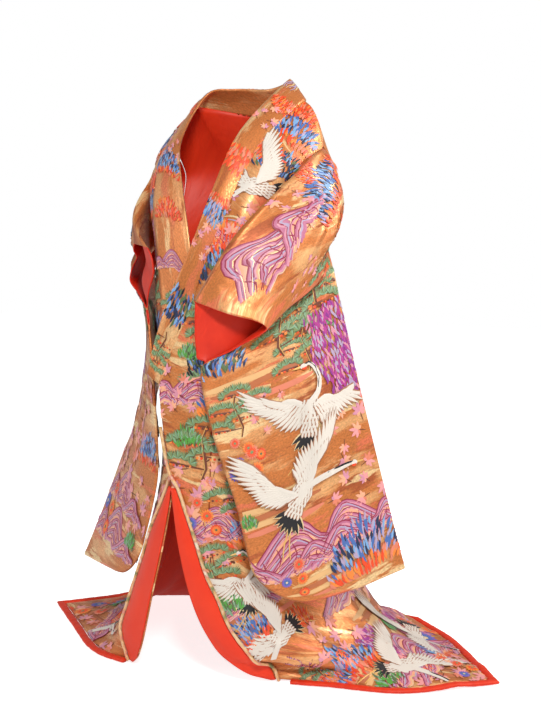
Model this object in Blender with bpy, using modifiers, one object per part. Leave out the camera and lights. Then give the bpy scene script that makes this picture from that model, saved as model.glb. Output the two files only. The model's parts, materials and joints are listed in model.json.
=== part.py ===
"""Long-sleeved wedding over-robe in its worn, hollow form: sewn panels, collar band, hanging sleeves, train.

Z is up, the wearer faces -Y and their left side is +X. Tables are in metres above the floor; every
vertex is then moved by ORIGIN, which lies in the neck hollow at shoulder height where the robe is held.
"""
import bpy
import bmesh
import numpy as np
from mathutils import Vector

NAME = "wedding_over_robe"
ORIGIN = np.array([0.0, 0.060, 1.240])
WALL = 0.003            # brocade, interlining and lining in one wall
COLLAR_WALL = 0.004     # the collar band is folded double along its length
SEAM = 0.0003           # gap between neighbouring pieces at a seam
HEM_W, HEM_H = 0.020, 0.011   # padded roll round the hem
EDGE_R = 0.0038         # brocade roll along the front edges
NECK_SHARE = 0.47       # share of the back's half width taken by the shoulder line

# Left front, collar seam and free edge (c0) to side (c3), shoulder to hem. Columns: c0 xyz, c1, c2, c3.
FRONT_L = np.array([
    [0.154, 0.080, 1.298,  0.180, 0.078, 1.277,  0.203, 0.075, 1.235,  0.215, 0.070, 1.190],   # shoulder
    [0.137, -0.060, 1.200,  0.172, -0.045, 1.185,  0.203, -0.016, 1.155,  0.224, 0.014, 1.120],
    [0.124, -0.145, 1.087,  0.165, -0.132, 1.075,  0.198, -0.084, 1.055,  0.224, -0.008, 1.030],
    [0.094, -0.190, 0.967,  0.145, -0.178, 0.960,  0.184, -0.118, 0.950,  0.226, 0.000, 0.930],
    [0.048, -0.230, 0.802,  0.120, -0.210, 0.800,  0.180, -0.135, 0.795,  # under the arm
     0.232, 0.030, 0.790],
    [-0.004, -0.255, 0.656,  0.128, -0.232, 0.656,  0.185, -0.140, 0.650,  # collar end
     0.218, 0.030, 0.650],
    [0.031, -0.265, 0.469,  0.127, -0.243, 0.470,  0.192, -0.150, 0.470,  0.220, 0.032, 0.470],
    [0.060, -0.275, 0.320,  0.134, -0.254, 0.320,  0.208, -0.160, 0.320,  0.240, 0.036, 0.320],
    [0.095, -0.272, 0.190,  0.172, -0.250, 0.190,  0.245, -0.165, 0.190,  0.285, 0.045, 0.185],
    [0.135, -0.248, 0.090,  0.228, -0.222, 0.088,  0.310, -0.140, 0.085,  0.370, 0.058, 0.080],
    [0.193, -0.220, 0.030,  0.318, -0.122, 0.034,  0.425, -0.060, 0.032,  0.505, 0.078, 0.026],  # floor
    [0.240, -0.170, 0.0065,  0.370, -0.117, 0.0065,  0.515, -0.060, 0.0065,  0.640, 0.092, 0.0065],  # hem
]).reshape(12, 4, 3)

# Right front, which lies under the left one down to the thigh. Same stations and columns.
FRONT_R = np.array([
    [-0.154, 0.080, 1.298,  -0.180, 0.078, 1.277,  -0.203, 0.075, 1.235,  -0.215, 0.070, 1.190],
    [-0.140, -0.060, 1.195,  -0.172, -0.045, 1.183,  -0.200, -0.014, 1.155,  -0.220, 0.016, 1.120],
    [-0.115, -0.135, 1.087,  -0.148, -0.108, 1.075,  -0.176, -0.062, 1.055,  -0.212, 0.000, 1.030],
    [-0.075, -0.175, 0.967,  -0.112, -0.136, 0.960,  -0.150, -0.076, 0.950,  -0.198, 0.004, 0.930],
    [-0.028, -0.208, 0.802,  -0.080, -0.172, 0.800,  -0.135, -0.085, 0.795,  -0.192, 0.030, 0.790],
    [0.035, -0.232, 0.656,  -0.030, -0.198, 0.656,  -0.122, -0.098, 0.650,  -0.190, 0.030, 0.650],
    [0.036, -0.252, 0.469,  -0.028, -0.212, 0.470,  -0.122, -0.094, 0.470,  -0.172, 0.032, 0.470],
    [0.029, -0.283, 0.320,  -0.060, -0.224, 0.320,  -0.134, -0.092, 0.320,  -0.190, 0.036, 0.320],
    [0.003, -0.296, 0.190,  -0.100, -0.233, 0.190,  -0.160, -0.090, 0.190,  -0.225, 0.030, 0.185],
    [-0.025, -0.293, 0.090,  -0.142, -0.240, 0.088,  -0.200, -0.095, 0.085,  -0.285, 0.015, 0.080],
    [-0.060, -0.272, 0.030,  -0.180, -0.228, 0.028,  -0.285, -0.105, 0.024,  -0.395, 0.000, 0.020],
    [-0.085, -0.260, 0.0065,  -0.215, -0.235, 0.0065,  -0.380, -0.125, 0.0065,  -0.535, -0.016, 0.0065],
]).reshape(12, 4, 3)

# Back, left side to right side. Columns: left side, left quarter, centre, right quarter, right side.
BACK = np.array([
    [0.215, 0.070, 1.190,  0.100, 0.140, 1.285,  0.000, 0.178, 1.272,
     -0.100, 0.140, 1.285,  -0.215, 0.070, 1.190],
    [0.224, 0.115, 1.130,  0.130, 0.175, 1.165,  0.000, 0.200, 1.180,
     -0.130, 0.175, 1.165,  -0.222, 0.115, 1.130],
    [0.228, 0.080, 1.030,  0.140, 0.175, 1.040,  0.000, 0.215, 1.045,
     -0.135, 0.172, 1.040,  -0.214, 0.080, 1.030],
    [0.230, 0.046, 0.930,  0.140, 0.168, 0.930,  0.000, 0.220, 0.930,
     -0.135, 0.164, 0.930,  -0.200, 0.046, 0.930],
    [0.232, 0.030, 0.790,  0.140, 0.170, 0.790,  0.000, 0.222, 0.790,
     -0.135, 0.162, 0.790,  -0.192, 0.030, 0.790],
    [0.218, 0.030, 0.650,  0.150, 0.178, 0.640,  0.000, 0.228, 0.635,
     -0.140, 0.168, 0.640,  -0.190, 0.030, 0.650],
    [0.220, 0.032, 0.470,  0.160, 0.190, 0.460,  0.000, 0.238, 0.455,
     -0.140, 0.170, 0.460,  -0.172, 0.032, 0.470],
    [0.240, 0.036, 0.320,  0.180, 0.205, 0.305,  0.000, 0.252, 0.300,
     -0.150, 0.180, 0.305,  -0.190, 0.036, 0.320],
    [0.285, 0.045, 0.185,  0.215, 0.225, 0.165,  0.000, 0.270, 0.160,
     -0.175, 0.195, 0.165,  -0.225, 0.030, 0.185],
    [0.370, 0.058, 0.080,  0.260, 0.258, 0.070,  0.000, 0.296, 0.065,
     -0.215, 0.215, 0.070,  -0.285, 0.015, 0.080],
    [0.505, 0.078, 0.026,  0.310, 0.310, 0.028,  0.000, 0.340, 0.026,
     -0.285, 0.220, 0.024,  -0.395, 0.000, 0.020],
    [0.640, 0.092, 0.0065,  0.350, 0.345, 0.0065,  0.000, 0.385, 0.0065,
     -0.370, 0.205, 0.0065,  -0.535, -0.016, 0.0065],
]).reshape(12, 5, 3)

# Neck curve at the back, left neck point to right neck point.
NECK = np.array([
    [0.154, 0.080, 1.298], [0.124, 0.124, 1.292], [0.068, 0.164, 1.280], [0.000, 0.178, 1.272],
    [-0.068, 0.164, 1.280], [-0.124, 0.124, 1.292], [-0.154, 0.080, 1.298],
])

# Free edge of the folded collar band: 0..5 up the left front, 5..9 round the neck, 9..14 down the right.
COLLAR_EDGE = np.array([
    [-0.033, -0.264, 0.681], [-0.001, -0.247, 0.812], [0.050, -0.214, 0.957], [0.080, -0.170, 1.087],
    [0.091, -0.080, 1.222], [0.103, 0.080, 1.340], [0.076, 0.128, 1.347], [0.000, 0.158, 1.338],
    [-0.076, 0.128, 1.340], [-0.119, 0.070, 1.325], [-0.086, -0.070, 1.210], [-0.030, -0.143, 1.120],
    [0.030, -0.192, 0.990], [0.062, -0.200, 0.820], [0.104, -0.205, 0.680],
])

# Left sleeve, outer sheet: columns armhole side (w0) to cuff side (w3); rows arm fold down to the bottom.
SLEEVE_L_OUT = np.array([
    [0.218, 0.068, 1.193,  0.232, -0.055, 1.128,  0.169, -0.196, 0.992,  0.097, -0.256, 0.845],
    [0.231, 0.116, 1.135,  0.275, 0.020, 1.060,  0.250, -0.130, 0.930,  0.175, -0.250, 0.822],
    [0.268, 0.030, 0.940,  0.278, -0.060, 0.888,  0.262, -0.132, 0.840,  0.245, -0.199, 0.792],  # crease
    [0.284, 0.012, 0.900,  0.256, -0.068, 0.850,  0.212, -0.150, 0.795,  0.165, -0.228, 0.738],
    [0.315, 0.010, 0.785,  0.266, -0.086, 0.745,  0.196, -0.192, 0.708,  0.120, -0.263, 0.687],
    [0.352, 0.012, 0.650,  0.300, -0.090, 0.600,  0.228, -0.188, 0.565,  0.152, -0.257, 0.548],
    [0.395, 0.015, 0.500,  0.340, -0.084, 0.450,  0.272, -0.172, 0.422,  0.200, -0.244, 0.408],
    [0.435, 0.018, 0.360,  0.377, -0.075, 0.312,  0.308, -0.160, 0.285,  0.226, -0.230, 0.280],
    [0.469, 0.020, 0.249,  0.409, -0.068, 0.219,  0.335, -0.150, 0.194,  0.250, -0.214, 0.190],
]).reshape(9, 4, 3)
# Inner sheet down to the end of the cuff opening; below it follows the outer sheet at SLEEVE_GAP.
SLEEVE_L_IN = np.array([
    [0.218, 0.068, 1.193,  0.232, -0.055, 1.128,  0.169, -0.196, 0.992,  0.097, -0.256, 0.845],
    [0.226, 0.008, 1.120,  0.220, -0.070, 1.080,  0.164, -0.200, 0.930,  0.098, -0.259, 0.800],
    [0.246, -0.014, 0.960,  0.230, -0.104, 0.945,  0.173, -0.196, 0.870,  0.101, -0.262, 0.765],
    [0.260, -0.014, 0.900,  0.236, -0.094, 0.860,  0.176, -0.194, 0.800,  0.108, -0.263, 0.722],
]).reshape(4, 4, 3)

# Right sleeve: the forearm is raised further and the hanging part swings out less.
SLEEVE_R_OUT = np.array([
    [-0.218, 0.068, 1.193,  -0.218, -0.022, 1.122,  -0.200, -0.108, 1.044,  -0.168, -0.146, 0.966],
    [-0.228, 0.114, 1.135,  -0.256, 0.050, 1.048,  -0.246, -0.025, 0.975,  -0.220, -0.085, 0.925],
    [-0.246, 0.040, 0.940,  -0.262, 0.005, 0.915,  -0.252, -0.048, 0.895,  -0.226, -0.096, 0.878],
    [-0.254, 0.022, 0.870,  -0.238, -0.034, 0.860,  -0.198, -0.092, 0.850,  -0.138, -0.155, 0.838],
    [-0.230, 0.010, 0.760,  -0.196, -0.066, 0.758,  -0.140, -0.134, 0.765,  -0.090, -0.190, 0.780],
    [-0.235, -0.026, 0.600,  -0.194, -0.090, 0.600,  -0.130, -0.156, 0.600,  -0.056, -0.212, 0.600],
    [-0.298, -0.045, 0.440,  -0.232, -0.106, 0.440,  -0.142, -0.172, 0.440,  -0.042, -0.222, 0.440],
    [-0.350, -0.062, 0.298,  -0.270, -0.120, 0.298,  -0.176, -0.180, 0.300,  -0.068, -0.236, 0.304],
    [-0.402, -0.080, 0.170,  -0.308, -0.134, 0.178,  -0.202, -0.194, 0.188,  -0.090, -0.244, 0.194],
]).reshape(9, 4, 3)
SLEEVE_R_IN = np.array([
    [-0.218, 0.068, 1.193,  -0.218, -0.022, 1.122,  -0.200, -0.108, 1.044,  -0.168, -0.146, 0.966],
    [-0.232, 0.008, 1.120,  -0.206, -0.060, 1.050,  -0.160, -0.140, 0.990,  -0.092, -0.190, 0.955],
    [-0.242, -0.008, 0.960,  -0.212, -0.050, 0.945,  -0.150, -0.128, 0.925,  -0.072, -0.196, 0.905],
    [-0.236, -0.006, 0.900,  -0.212, -0.052, 0.888,  -0.165, -0.125, 0.870,  -0.098, -0.186, 0.845],
]).reshape(4, 4, 3)

# Share of the front's width that is the overlap panel, by station, and of that panel its turned-back facing.
OVERLAP_AT = [(2.0, 0.0), (3.0, 0.45), (4.0, 0.85), (5.0, 1.0), (11.0, 1.0)]
TURN_L = [(6.25, 0.12), (6.6, 0.32), (7.0, 0.54), (8.0, 0.78), (9.0, 0.78), (10.0, 0.40), (10.9, 0.12)]
TURN_R = [(6.25, 0.18), (6.6, 0.46), (7.0, 0.70), (8.0, 0.80), (9.0, 0.72), (10.0, 0.32), (10.9, 0.06)]

# Main folds: start xyz, end xyz, height, half width. A negative height is a hollow.
FOLDS_L = [
    (0.150, -0.250, 0.520, 0.260, -0.140, 0.300, 0.010, 0.026),
    (0.140, -0.255, 0.360, 0.230, -0.180, 0.200, -0.010, 0.022),
    (0.340, -0.120, 0.070, 0.180, -0.235, 0.075, 0.016, 0.022),
    (0.390, -0.100, 0.035, 0.230, -0.200, 0.035, -0.012, 0.020),
    (0.430, -0.070, 0.045, 0.300, -0.165, 0.030, 0.014, 0.022),
    (0.590, 0.020, 0.020, 0.380, 0.020, 0.080, 0.014, 0.030),
]
FOLDS_BACK = [
    (0.580, 0.120, 0.020, 0.340, 0.120, 0.110, 0.016, 0.034),
    (0.450, 0.240, 0.020, 0.270, 0.180, 0.120, -0.014, 0.032),
    (0.300, 0.370, 0.020, 0.170, 0.230, 0.160, 0.018, 0.036),
    (0.120, 0.390, 0.020, 0.060, 0.260, 0.170, -0.014, 0.034),
    (-0.060, 0.380, 0.020, -0.040, 0.260, 0.180, 0.016, 0.036),
    (-0.240, 0.300, 0.020, -0.130, 0.210, 0.160, -0.012, 0.034),
    (-0.420, 0.140, 0.018, -0.210, 0.120, 0.110, 0.012, 0.032),
]
FOLDS_SLEEVE_L = [
    (0.275, 0.020, 1.060, 0.215, -0.200, 0.880, 0.010, 0.016),
    (0.262, 0.000, 1.000, 0.235, -0.170, 0.860, -0.006, 0.016),
    (0.262, -0.080, 0.740, 0.330, -0.090, 0.480, 0.008, 0.030),
]
FOLDS_SLEEVE_R = [
    (-0.230, -0.060, 1.060, -0.170, -0.150, 0.930, 0.010, 0.018),
    (-0.262, 0.030, 1.010, -0.190, -0.140, 0.920, -0.008, 0.016),
]
SLEEVE_GAP = [0.022, 0.020, 0.016, 0.0]       # between the two sheets, armhole side to the sewn edge

COLOURS = {"brocade": (0.62, 0.33, 0.13, 1), "collar": (0.66, 0.36, 0.17, 1),
           "lining": (0.80, 0.06, 0.02, 1), "edge": (0.85, 0.66, 0.45, 1)}


def chain(rows, s):
    """Smooth curve through the rows of a table, s counted in rows."""
    rows = np.asarray(rows, float)
    n = len(rows)
    ext = np.concatenate([[2 * rows[0] - rows[1]], rows, [2 * rows[-1] - rows[-2]]])
    s = np.clip(np.asarray(s, float), 0, n - 1)
    i = np.minimum(s.astype(int), n - 2)
    f = (s - i).reshape((-1,) + (1,) * (rows.ndim - 1))
    a, b, c, d = ext[i], ext[i + 1], ext[i + 2], ext[i + 3]
    square, cube = 2 * a - 5 * b + 4 * c - d, 3 * b - a - 3 * c + d
    return 0.5 * (2 * b + (c - a) * f + square * f ** 2 + cube * f ** 3)


def patch(table, s, t):
    """Point grid of a table's smooth surface: s counts rows, t (a list, or one list per s) counts columns."""
    lines = chain(table, s)
    t = np.broadcast_to(np.asarray(t, float), (len(s), np.shape(t)[-1]))
    return np.array([chain(line, tt) for line, tt in zip(lines, t)])


def normals(grid, sign=1.0):
    """Unit normals of a point grid."""
    ds = np.gradient(grid, axis=0)
    dt = np.gradient(grid, axis=1)
    n = np.cross(ds, dt)
    return sign * n / np.maximum(np.linalg.norm(n, axis=-1, keepdims=True), 1e-9)


def folded(grid, folds, sign):
    """Adds the listed fold ridges along the normal."""
    rise = np.zeros(grid.shape[:2])
    for x0, y0, z0, x1, y1, z1, height, half in folds:
        a, b = np.array([x0, y0, z0]), np.array([x1, y1, z1])
        u = np.clip(((grid - a) @ (b - a)) / ((b - a) @ (b - a)), 0, 1)
        dist = np.linalg.norm(grid - (a + u[..., None] * (b - a)), axis=-1)
        rise += height * np.exp(-(dist / half) ** 2) * (0.35 + 0.65 * np.sin(np.pi * np.clip(u, 0.08, 0.92)))
    return grid + normals(grid, sign) * rise[..., None]


def lerp_at(pairs, s):
    return np.interp(s, [p[0] for p in pairs], [p[1] for p in pairs])


def unit(v):
    return v / np.maximum(np.linalg.norm(v, axis=-1, keepdims=True), 1e-9)


def on_grid(grid, stations, s, t):
    """Points on a grid's flat facets: s in its stations, t (one list per s) in columns."""
    k = np.interp(s, stations, np.arange(len(stations)))
    i = np.minimum(k.astype(int), len(stations) - 2)
    f = (k - i)[:, None, None]
    rows = grid[i] * (1 - f) + grid[i + 1] * f
    j = np.clip(t.astype(int), 0, grid.shape[1] - 2)
    g = (t - j)[..., None]
    r = np.arange(len(rows))[:, None]
    return rows[r, j] * (1 - g) + rows[r, j + 1] * g


def keep_off(grid, other, sign, gap):
    """Moves points so they stay at least gap outside another grid's surface."""
    pts, nor, flat = other.reshape(-1, 3), normals(other, sign).reshape(-1, 3), grid.reshape(-1, 3).copy()
    inside = np.zeros(other.shape[:2], bool)
    inside[1:-1, 1:-1] = True
    inside = inside.ravel()
    for _ in range(3):
        d = np.linalg.norm(flat[:, None] - pts[None], axis=-1)
        k = d.argmin(1)
        height = ((flat - pts[k]) * nor[k]).sum(1)
        push = np.where(inside[k] & (d.min(1) < 0.06) & (height < gap), np.minimum(gap - height, 0.02), 0)
        flat += nor[k] * push[:, None]
    return flat.reshape(grid.shape)


def seam_step(edge, inner, onward):
    """Step from a sewn edge along onward that leaves the seam gap between two walls meeting at an angle."""
    turn = np.linalg.norm(np.cross(unit(edge - inner), unit(onward)), axis=-1, keepdims=True)
    return unit(onward) * (SEAM + (WALL / 2 + SEAM) * turn * 1.2 + 0.0002)


def armhole_step(edge, inner, onward):
    """Step outward from the body's edge that clears a sleeve wall set at an angle or folding back."""
    out = unit(edge - inner)
    cos = (out * unit(onward)).sum(-1, keepdims=True)
    sin = np.sqrt(np.clip(1 - cos ** 2, 0.1, 1))
    back = np.clip(-cos, 0, 1)
    return out * (SEAM + 0.0010 + WALL / 2 * sin + WALL / 2 * (1 + back) * back / sin)


def part_seam(left_in, edge, right_in):
    """The two sides of a seam line, drawn apart by the seam gap and the walls' mitre."""
    a, b = unit(left_in - edge), unit(right_in - edge)
    half = np.sqrt(np.clip((1 + (a * b).sum(-1, keepdims=True)) / 2, 0, 0.5))
    step = SEAM / 2 + 0.0004 + WALL / 2 * half * 2.4
    return edge + a * step, edge + b * step


# ---------------------------------------------------------------- stage
for old in list(bpy.data.objects):
    bpy.data.objects.remove(old, do_unlink=True)
parts = bpy.data.collections.new(NAME)
bpy.context.scene.collection.children.link(parts)
materials = {}
for slot, rgba in COLOURS.items():
    m = bpy.data.materials.new(slot)
    m.use_nodes = True
    m.node_tree.nodes["Principled BSDF"].inputs["Base Color"].default_value = rgba
    m.node_tree.nodes["Principled BSDF"].inputs["Roughness"].default_value = 0.6
    materials[slot] = m


def add(name, bm, slot, wall=None, offset=0.0, recalc=True):
    """Turns a bmesh into a named part; an open sheet gets its wall from Solidify."""
    bmesh.ops.remove_doubles(bm, verts=bm.verts, dist=0.00001)
    if recalc:
        bmesh.ops.recalc_face_normals(bm, faces=bm.faces)
    for v in bm.verts:
        v.co -= Vector(ORIGIN)
    mesh = bpy.data.meshes.new(name)
    bm.to_mesh(mesh)
    bm.free()
    ob = bpy.data.objects.new(name, mesh)
    parts.objects.link(ob)
    mesh.materials.append(materials[slot])
    if wall:
        mod = ob.modifiers.new("wall", "SOLIDIFY")
        mod.thickness = wall
        mod.offset = offset
        mod.use_even_offset = offset == 0.0
        mod.use_quality_normals = True
    return ob


def sheet(bm, grid, skip=None):
    """Adds a quad grid to a bmesh; skip(i, j) leaves a cell open."""
    rows = [[bm.verts.new(p) for p in line] for line in grid]
    for i in range(len(rows) - 1):
        for j in range(len(rows[0]) - 1):
            if skip is None or not skip(i, j):
                bm.faces.new((rows[i][j], rows[i][j + 1], rows[i + 1][j + 1], rows[i + 1][j]))
    return bm


def sweep(bm, path, widths, heights, up, sides=10):
    """Closed tube of elliptical section along a path, flat caps at both ends."""
    path = np.asarray(path, float)
    tang = np.gradient(path, axis=0)
    rings = []
    for p, t, w, h, u in zip(path, tang, widths, heights, up):
        t = t / np.linalg.norm(t)
        side = np.cross(t, u)
        side /= np.linalg.norm(side)
        top = np.cross(side, t)
        ang = np.linspace(0, 2 * np.pi, sides, endpoint=False)
        rings.append([bm.verts.new(p + side * np.cos(a) * w / 2 + top * np.sin(a) * h / 2) for a in ang])
    for a, b in zip(rings, rings[1:]):
        for k in range(sides):
            bm.faces.new((a[k], a[(k + 1) % sides], b[(k + 1) % sides], b[k]))
    bm.faces.new(rings[0][::-1])
    bm.faces.new(rings[-1])
    return bm


# ---------------------------------------------------------------- body strips and overlap panels
# Each body strip runs from the front hem over the shoulder to the back hem, as it is cut; it is open at
# the armhole and sewn to itself from station 4 down. The overlap panel lies between it and the collar.
S_ROWS = np.array([0, 0.5, 1, 1.5, 2, 2.5, 3, 3.5, 4, 4.5, 5, 5.5, 6, 6.5, 7, 7.5, 8, 8.5, 9, 9.33, 9.67, 10,
                   10.33, 10.67, 11])
N_OVER, N_FRONT, N_NECK = 6, 10, 5
FLOOR_Z = 0.0065
HEM_FROM = {1: 2, -1: 1}        # overlap column where the hem roll starts, clear of the turned-back corner


def front_whole(table, folds, sign):
    """Overlap and front as one grid, so both sides of their seam match."""
    start = lerp_at(OVERLAP_AT, S_ROWS)
    t = np.concatenate([np.linspace(0, 1, N_OVER + 1)[None, :] * start[:, None],
                        start[:, None] + (3 - start[:, None]) * np.linspace(0, 1, N_FRONT + 1)[None, 1:]], 1)
    grid = patch(table, S_ROWS, t)
    line = grid[0].copy()
    grid = folded(grid, folds, sign)
    grid[0] = line
    grid[..., 2] = np.maximum(grid[..., 2], FLOOR_Z)
    return grid


def back_half(side, shoulder, front_side, sign):
    """Back from the side to the centre; its first row is the shoulder line and the neck curve."""
    tip_to_neck = 2 * NECK_SHARE * np.linspace(0, 1, N_FRONT + 1)
    j = np.concatenate([tip_to_neck, np.linspace(2 * NECK_SHARE, 2, N_NECK + 1)[1:]])
    table = np.array([chain(row, j if side > 0 else 4 - j) for row in BACK])
    neck = np.linspace(0, 3, N_NECK + 1)[1:]
    table[0, :N_FRONT + 1] = shoulder[::-1]
    table[0, N_FRONT + 1:] = chain(NECK, neck if side > 0 else 6 - neck)
    grid = chain(table, S_ROWS)
    first = grid[0].copy()
    grid = folded(grid, FOLDS_BACK, sign)
    grid[0] = first
    grid[..., 2] = np.maximum(grid[..., 2], FLOOR_Z)
    low = S_ROWS >= 4
    grid[low, 0] = front_side[low]
    return grid


hem_line, neck_line, fronts, backs, pieces = {}, {}, {}, {}, {}
for side, tag, table, folds in ((1, "left", FRONT_L, FOLDS_L), (-1, "right", FRONT_R, [])):
    whole = front_whole(table, folds, side)
    front = whole[:, N_OVER:].copy()
    back = back_half(side, front[0], front[:, -1], side)
    fronts[side], backs[side] = whole, back.copy()
    hem_line[side] = (np.concatenate([whole[-1, HEM_FROM[side]:], back[-1, 1:]]),
                      np.concatenate([whole[-2, HEM_FROM[side]:], back[-2, 1:]]))
    neck_line[side] = back[0, N_FRONT:].copy(), back[1, N_FRONT:].copy()
    # overlap panel: from a point on the collar seam down to the hem
    apex = whole[4, :N_OVER + 1] * 0.5 + whole[5, :N_OVER + 1] * 0.5
    over = np.concatenate([[apex], whole[5:, :N_OVER + 1]])
    over[1:, -1], front[5:, 0] = part_seam(over[1:, -2], front[5:, 0], front[5:, 1])
    over[0, -1] += unit(over[0, 0] - over[0, -1]) * 0.0012
    over[:3] = over[:3, :1] + (over[:3, -1:] - over[:3, :1]) * np.linspace(0, 1, N_OVER + 1)[None, :, None]
    add("overlap_" + tag, sheet(bmesh.new(), over), "brocade", WALL)
    pieces[side] = front, back

pieces[1][1][:, -1], pieces[-1][1][:, -1] = part_seam(
    pieces[1][1][:, -2], pieces[1][1][:, -1].copy(), pieces[-1][1][:, -2])
for side, tag in ((1, "left"), (-1, "right")):
    bm = bmesh.new()
    for grid in pieces[side]:
        sheet(bm, grid)
    add("body_" + tag, bm, "brocade", WALL)

# ---------------------------------------------------------------- turned-back facings and edge rolls
# Below the thigh the lining side of each front edge is turned back over the brocade.
for side, tag, turn in ((1, "left", TURN_L), (-1, "right", TURN_R)):
    over = fronts[side][:, :N_OVER + 1]
    s = np.array([6.25, 6.6, 7, 7.5, 8, 8.5, 9, 9.33, 9.67, 10, 10.33, 10.67, 10.9])
    share = np.linspace(0, 1, 5)
    base = on_grid(over, S_ROWS, s, lerp_at(turn, s)[:, None] * share[None, :] * N_OVER)
    n = normals(base, side)
    lift = 0.0042 + 0.004 * np.sin(np.pi * share)[None, :] * np.minimum(1, lerp_at(turn, s)[:, None] / 0.4)
    face = base + n * lift[..., None]
    add("facing_" + tag, sheet(bmesh.new(), face), "lining", 0.0022)
    # brocade roll: beside the free edge below the collar, over the edge, then along the facing to the hem
    upper = (S_ROWS > 5) & (S_ROWS < 6.1)
    edge, inner = over[upper, 0], over[upper, 1]
    tilt = np.radians([10, 90])[:, None]
    up = normals(over, side)[upper, 0]
    first = edge + up * (WALL / 2) * np.sin(tilt) \
        + (unit(edge - inner) * np.cos(tilt) + up * np.sin(tilt)) * (EDGE_R + 0.0030)
    second = base[:, -1] + unit(base[:, -1] - base[:, -2]) * (EDGE_R + 0.0034) \
        + n[:, -1] * (EDGE_R + WALL / 2 + 0.0012)
    path = np.concatenate([first, second])
    m = len(path)
    add("edge_roll_" + tag, sweep(bmesh.new(), path, [2 * EDGE_R] * m, [2 * EDGE_R] * m,
                                  np.concatenate([up, n[:, -1]]), sides=7), "edge")

# ---------------------------------------------------------------- collar band
# Its sewn edge follows the front edges and the neck curve; the width is folded once, so the wall is double.
upto = S_ROWS <= 5
left, right = fronts[1][upto][::-1], fronts[-1][upto]
sewn, behind, station = [], [], []
for grid, base_u in ((left, 0), (None, 5), (right, 9)):
    if grid is None:
        ln, lb = neck_line[1]
        rn, rb = neck_line[-1]
        sewn.append(np.concatenate([ln[1:], rn[::-1][1:-1]]))
        behind.append(np.concatenate([lb[1:], rb[::-1][1:-1]]))
        station.append(5 + 4 * np.arange(1, 2 * N_NECK) / (2 * N_NECK))
    else:
        sewn.append(grid[:, 0])
        wide = np.where(np.linalg.norm(grid[:, 1:2] - grid[:, :1], axis=-1) > 0.002, 1, N_OVER + 1)
        behind.append(np.take_along_axis(grid, wide[..., None], 1)[:, 0])
        station.append(np.linspace(0, 5, len(grid)) + base_u)
sewn, behind, station = np.concatenate(sewn), np.concatenate(behind), np.concatenate(station)
free = chain(COLLAR_EDGE, station)
sewn = sewn + seam_step(sewn, behind, free - sewn)
across = np.linspace(0, 1, 5)
band = sewn[:, None] * (1 - across)[None, :, None] + free[:, None] * across[None, :, None]
band = band + normals(band) * (0.004 * np.sin(np.pi * across))[None, :, None]
add("collar", sheet(bmesh.new(), band), "collar", COLLAR_WALL)

# ---------------------------------------------------------------- sleeves
# A flat bag folded along the arm: open to the body at the armhole, at the cuff, and along the whole back
# edge; sewn along the bottom and the front edge below the cuff.
V_ROWS = np.array([0, 0.4, 0.8, 1.2, 1.6, 2.0, 2.3, 2.65, 3.0, 3.5, 4, 4.5, 5, 5.5, 6, 6.5, 7, 7.25, 7.5, 7.7,
                   7.86, 7.96, 8])
N_WIDE, CUFF_END, ARMHOLE_ROWS = 12, 3.5, 6


def sleeve_sheets(out_table, in_table, folds, side, off, off_out):
    drop = np.clip(V_ROWS - 7, 0, 1)
    reach = 1 - 0.32 * (1 - np.sqrt(1 - drop ** 2))
    w = np.linspace(0, 3, N_WIDE + 1)[None, :] * reach[:, None]
    outer = patch(out_table, V_ROWS, w)
    lower = out_table[4:]
    along = unit((lower[:, 0] - lower[:, 3]) * np.array([1, 1, 0]))
    inward = np.stack([-along[:, 1], along[:, 0], 0 * along[:, 0]], -1) * side
    inner = patch(np.concatenate([in_table, lower + inward[:, None] * np.array(SLEEVE_GAP)[None, :, None]]),
                  V_ROWS, w)
    outer = folded(outer, folds, -side)
    whole, back = fronts[side], backs[side]
    near = patch(FRONT_L if side > 0 else FRONT_R, np.linspace(0, 9, 46), np.linspace(0, 3, 31))
    inner[:1, 1:] = keep_off(inner[:1, 1:], near, side, off + 0.009)
    inner[1:ARMHOLE_ROWS, 1:] = keep_off(inner[1:ARMHOLE_ROWS, 1:], near, side, off)
    outer[0] = inner[0]
    inner[ARMHOLE_ROWS:] = keep_off(inner[ARMHOLE_ROWS:], near, side, off)
    outer[1:ARMHOLE_ROWS, 1:] = keep_off(outer[1:ARMHOLE_ROWS, 1:], near, side, off_out)
    outer[0] = inner[0] = (outer[0] + inner[0]) / 2
    outer[-1] = inner[-1] = (outer[-1] + inner[-1]) / 2
    sewn = V_ROWS >= CUFF_END
    inner[sewn, -1] = outer[sewn, -1] = (outer[sewn, -1] + inner[sewn, -1]) / 2
    # armhole: the first rows take the body's armhole edges
    k = ARMHOLE_ROWS
    for grid, edge, inside, sign in ((outer, back[:k, 0], back[:k, 1], -1),
                                     (inner, whole[:k, -1], whole[:k, -2], 1)):
        n = normals(grid, side * sign)[:k, 0]
        target = edge + armhole_step(edge, inside, grid[:k, 1] - edge)
        shift = target - grid[:k, 0] - n * WALL / 2
        shift[0] = (target - grid[:k, 0] + unit(edge - inside) * 0.0042)[0]
        for col, share in ((0, 1.0), (1, 0.35), (2, 0.1)):
            grid[:k, col] += shift * share
    # the inner sheet turns back over the front panel in a rounded fold
    lead = unit(whole[1:k, -1] - whole[1:k, -2])
    clear = SEAM + WALL + np.array([0.0028, 0.0024, 0.0014, 0.0016, 0.0028])[:, None]
    inner[1:k, 0] = whole[1:k, -1] + lead * clear
    rise = np.array([0.0035, 0.010, 0.012, 0.014, 0.014])[:, None]
    inner[1:k, 1] = inner[1:k, 0] + normals(whole, side)[1:k, -1] * rise + lead * 0.003
    outer[0] = inner[0] = (outer[0] + inner[0]) / 2
    return outer, inner


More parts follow.
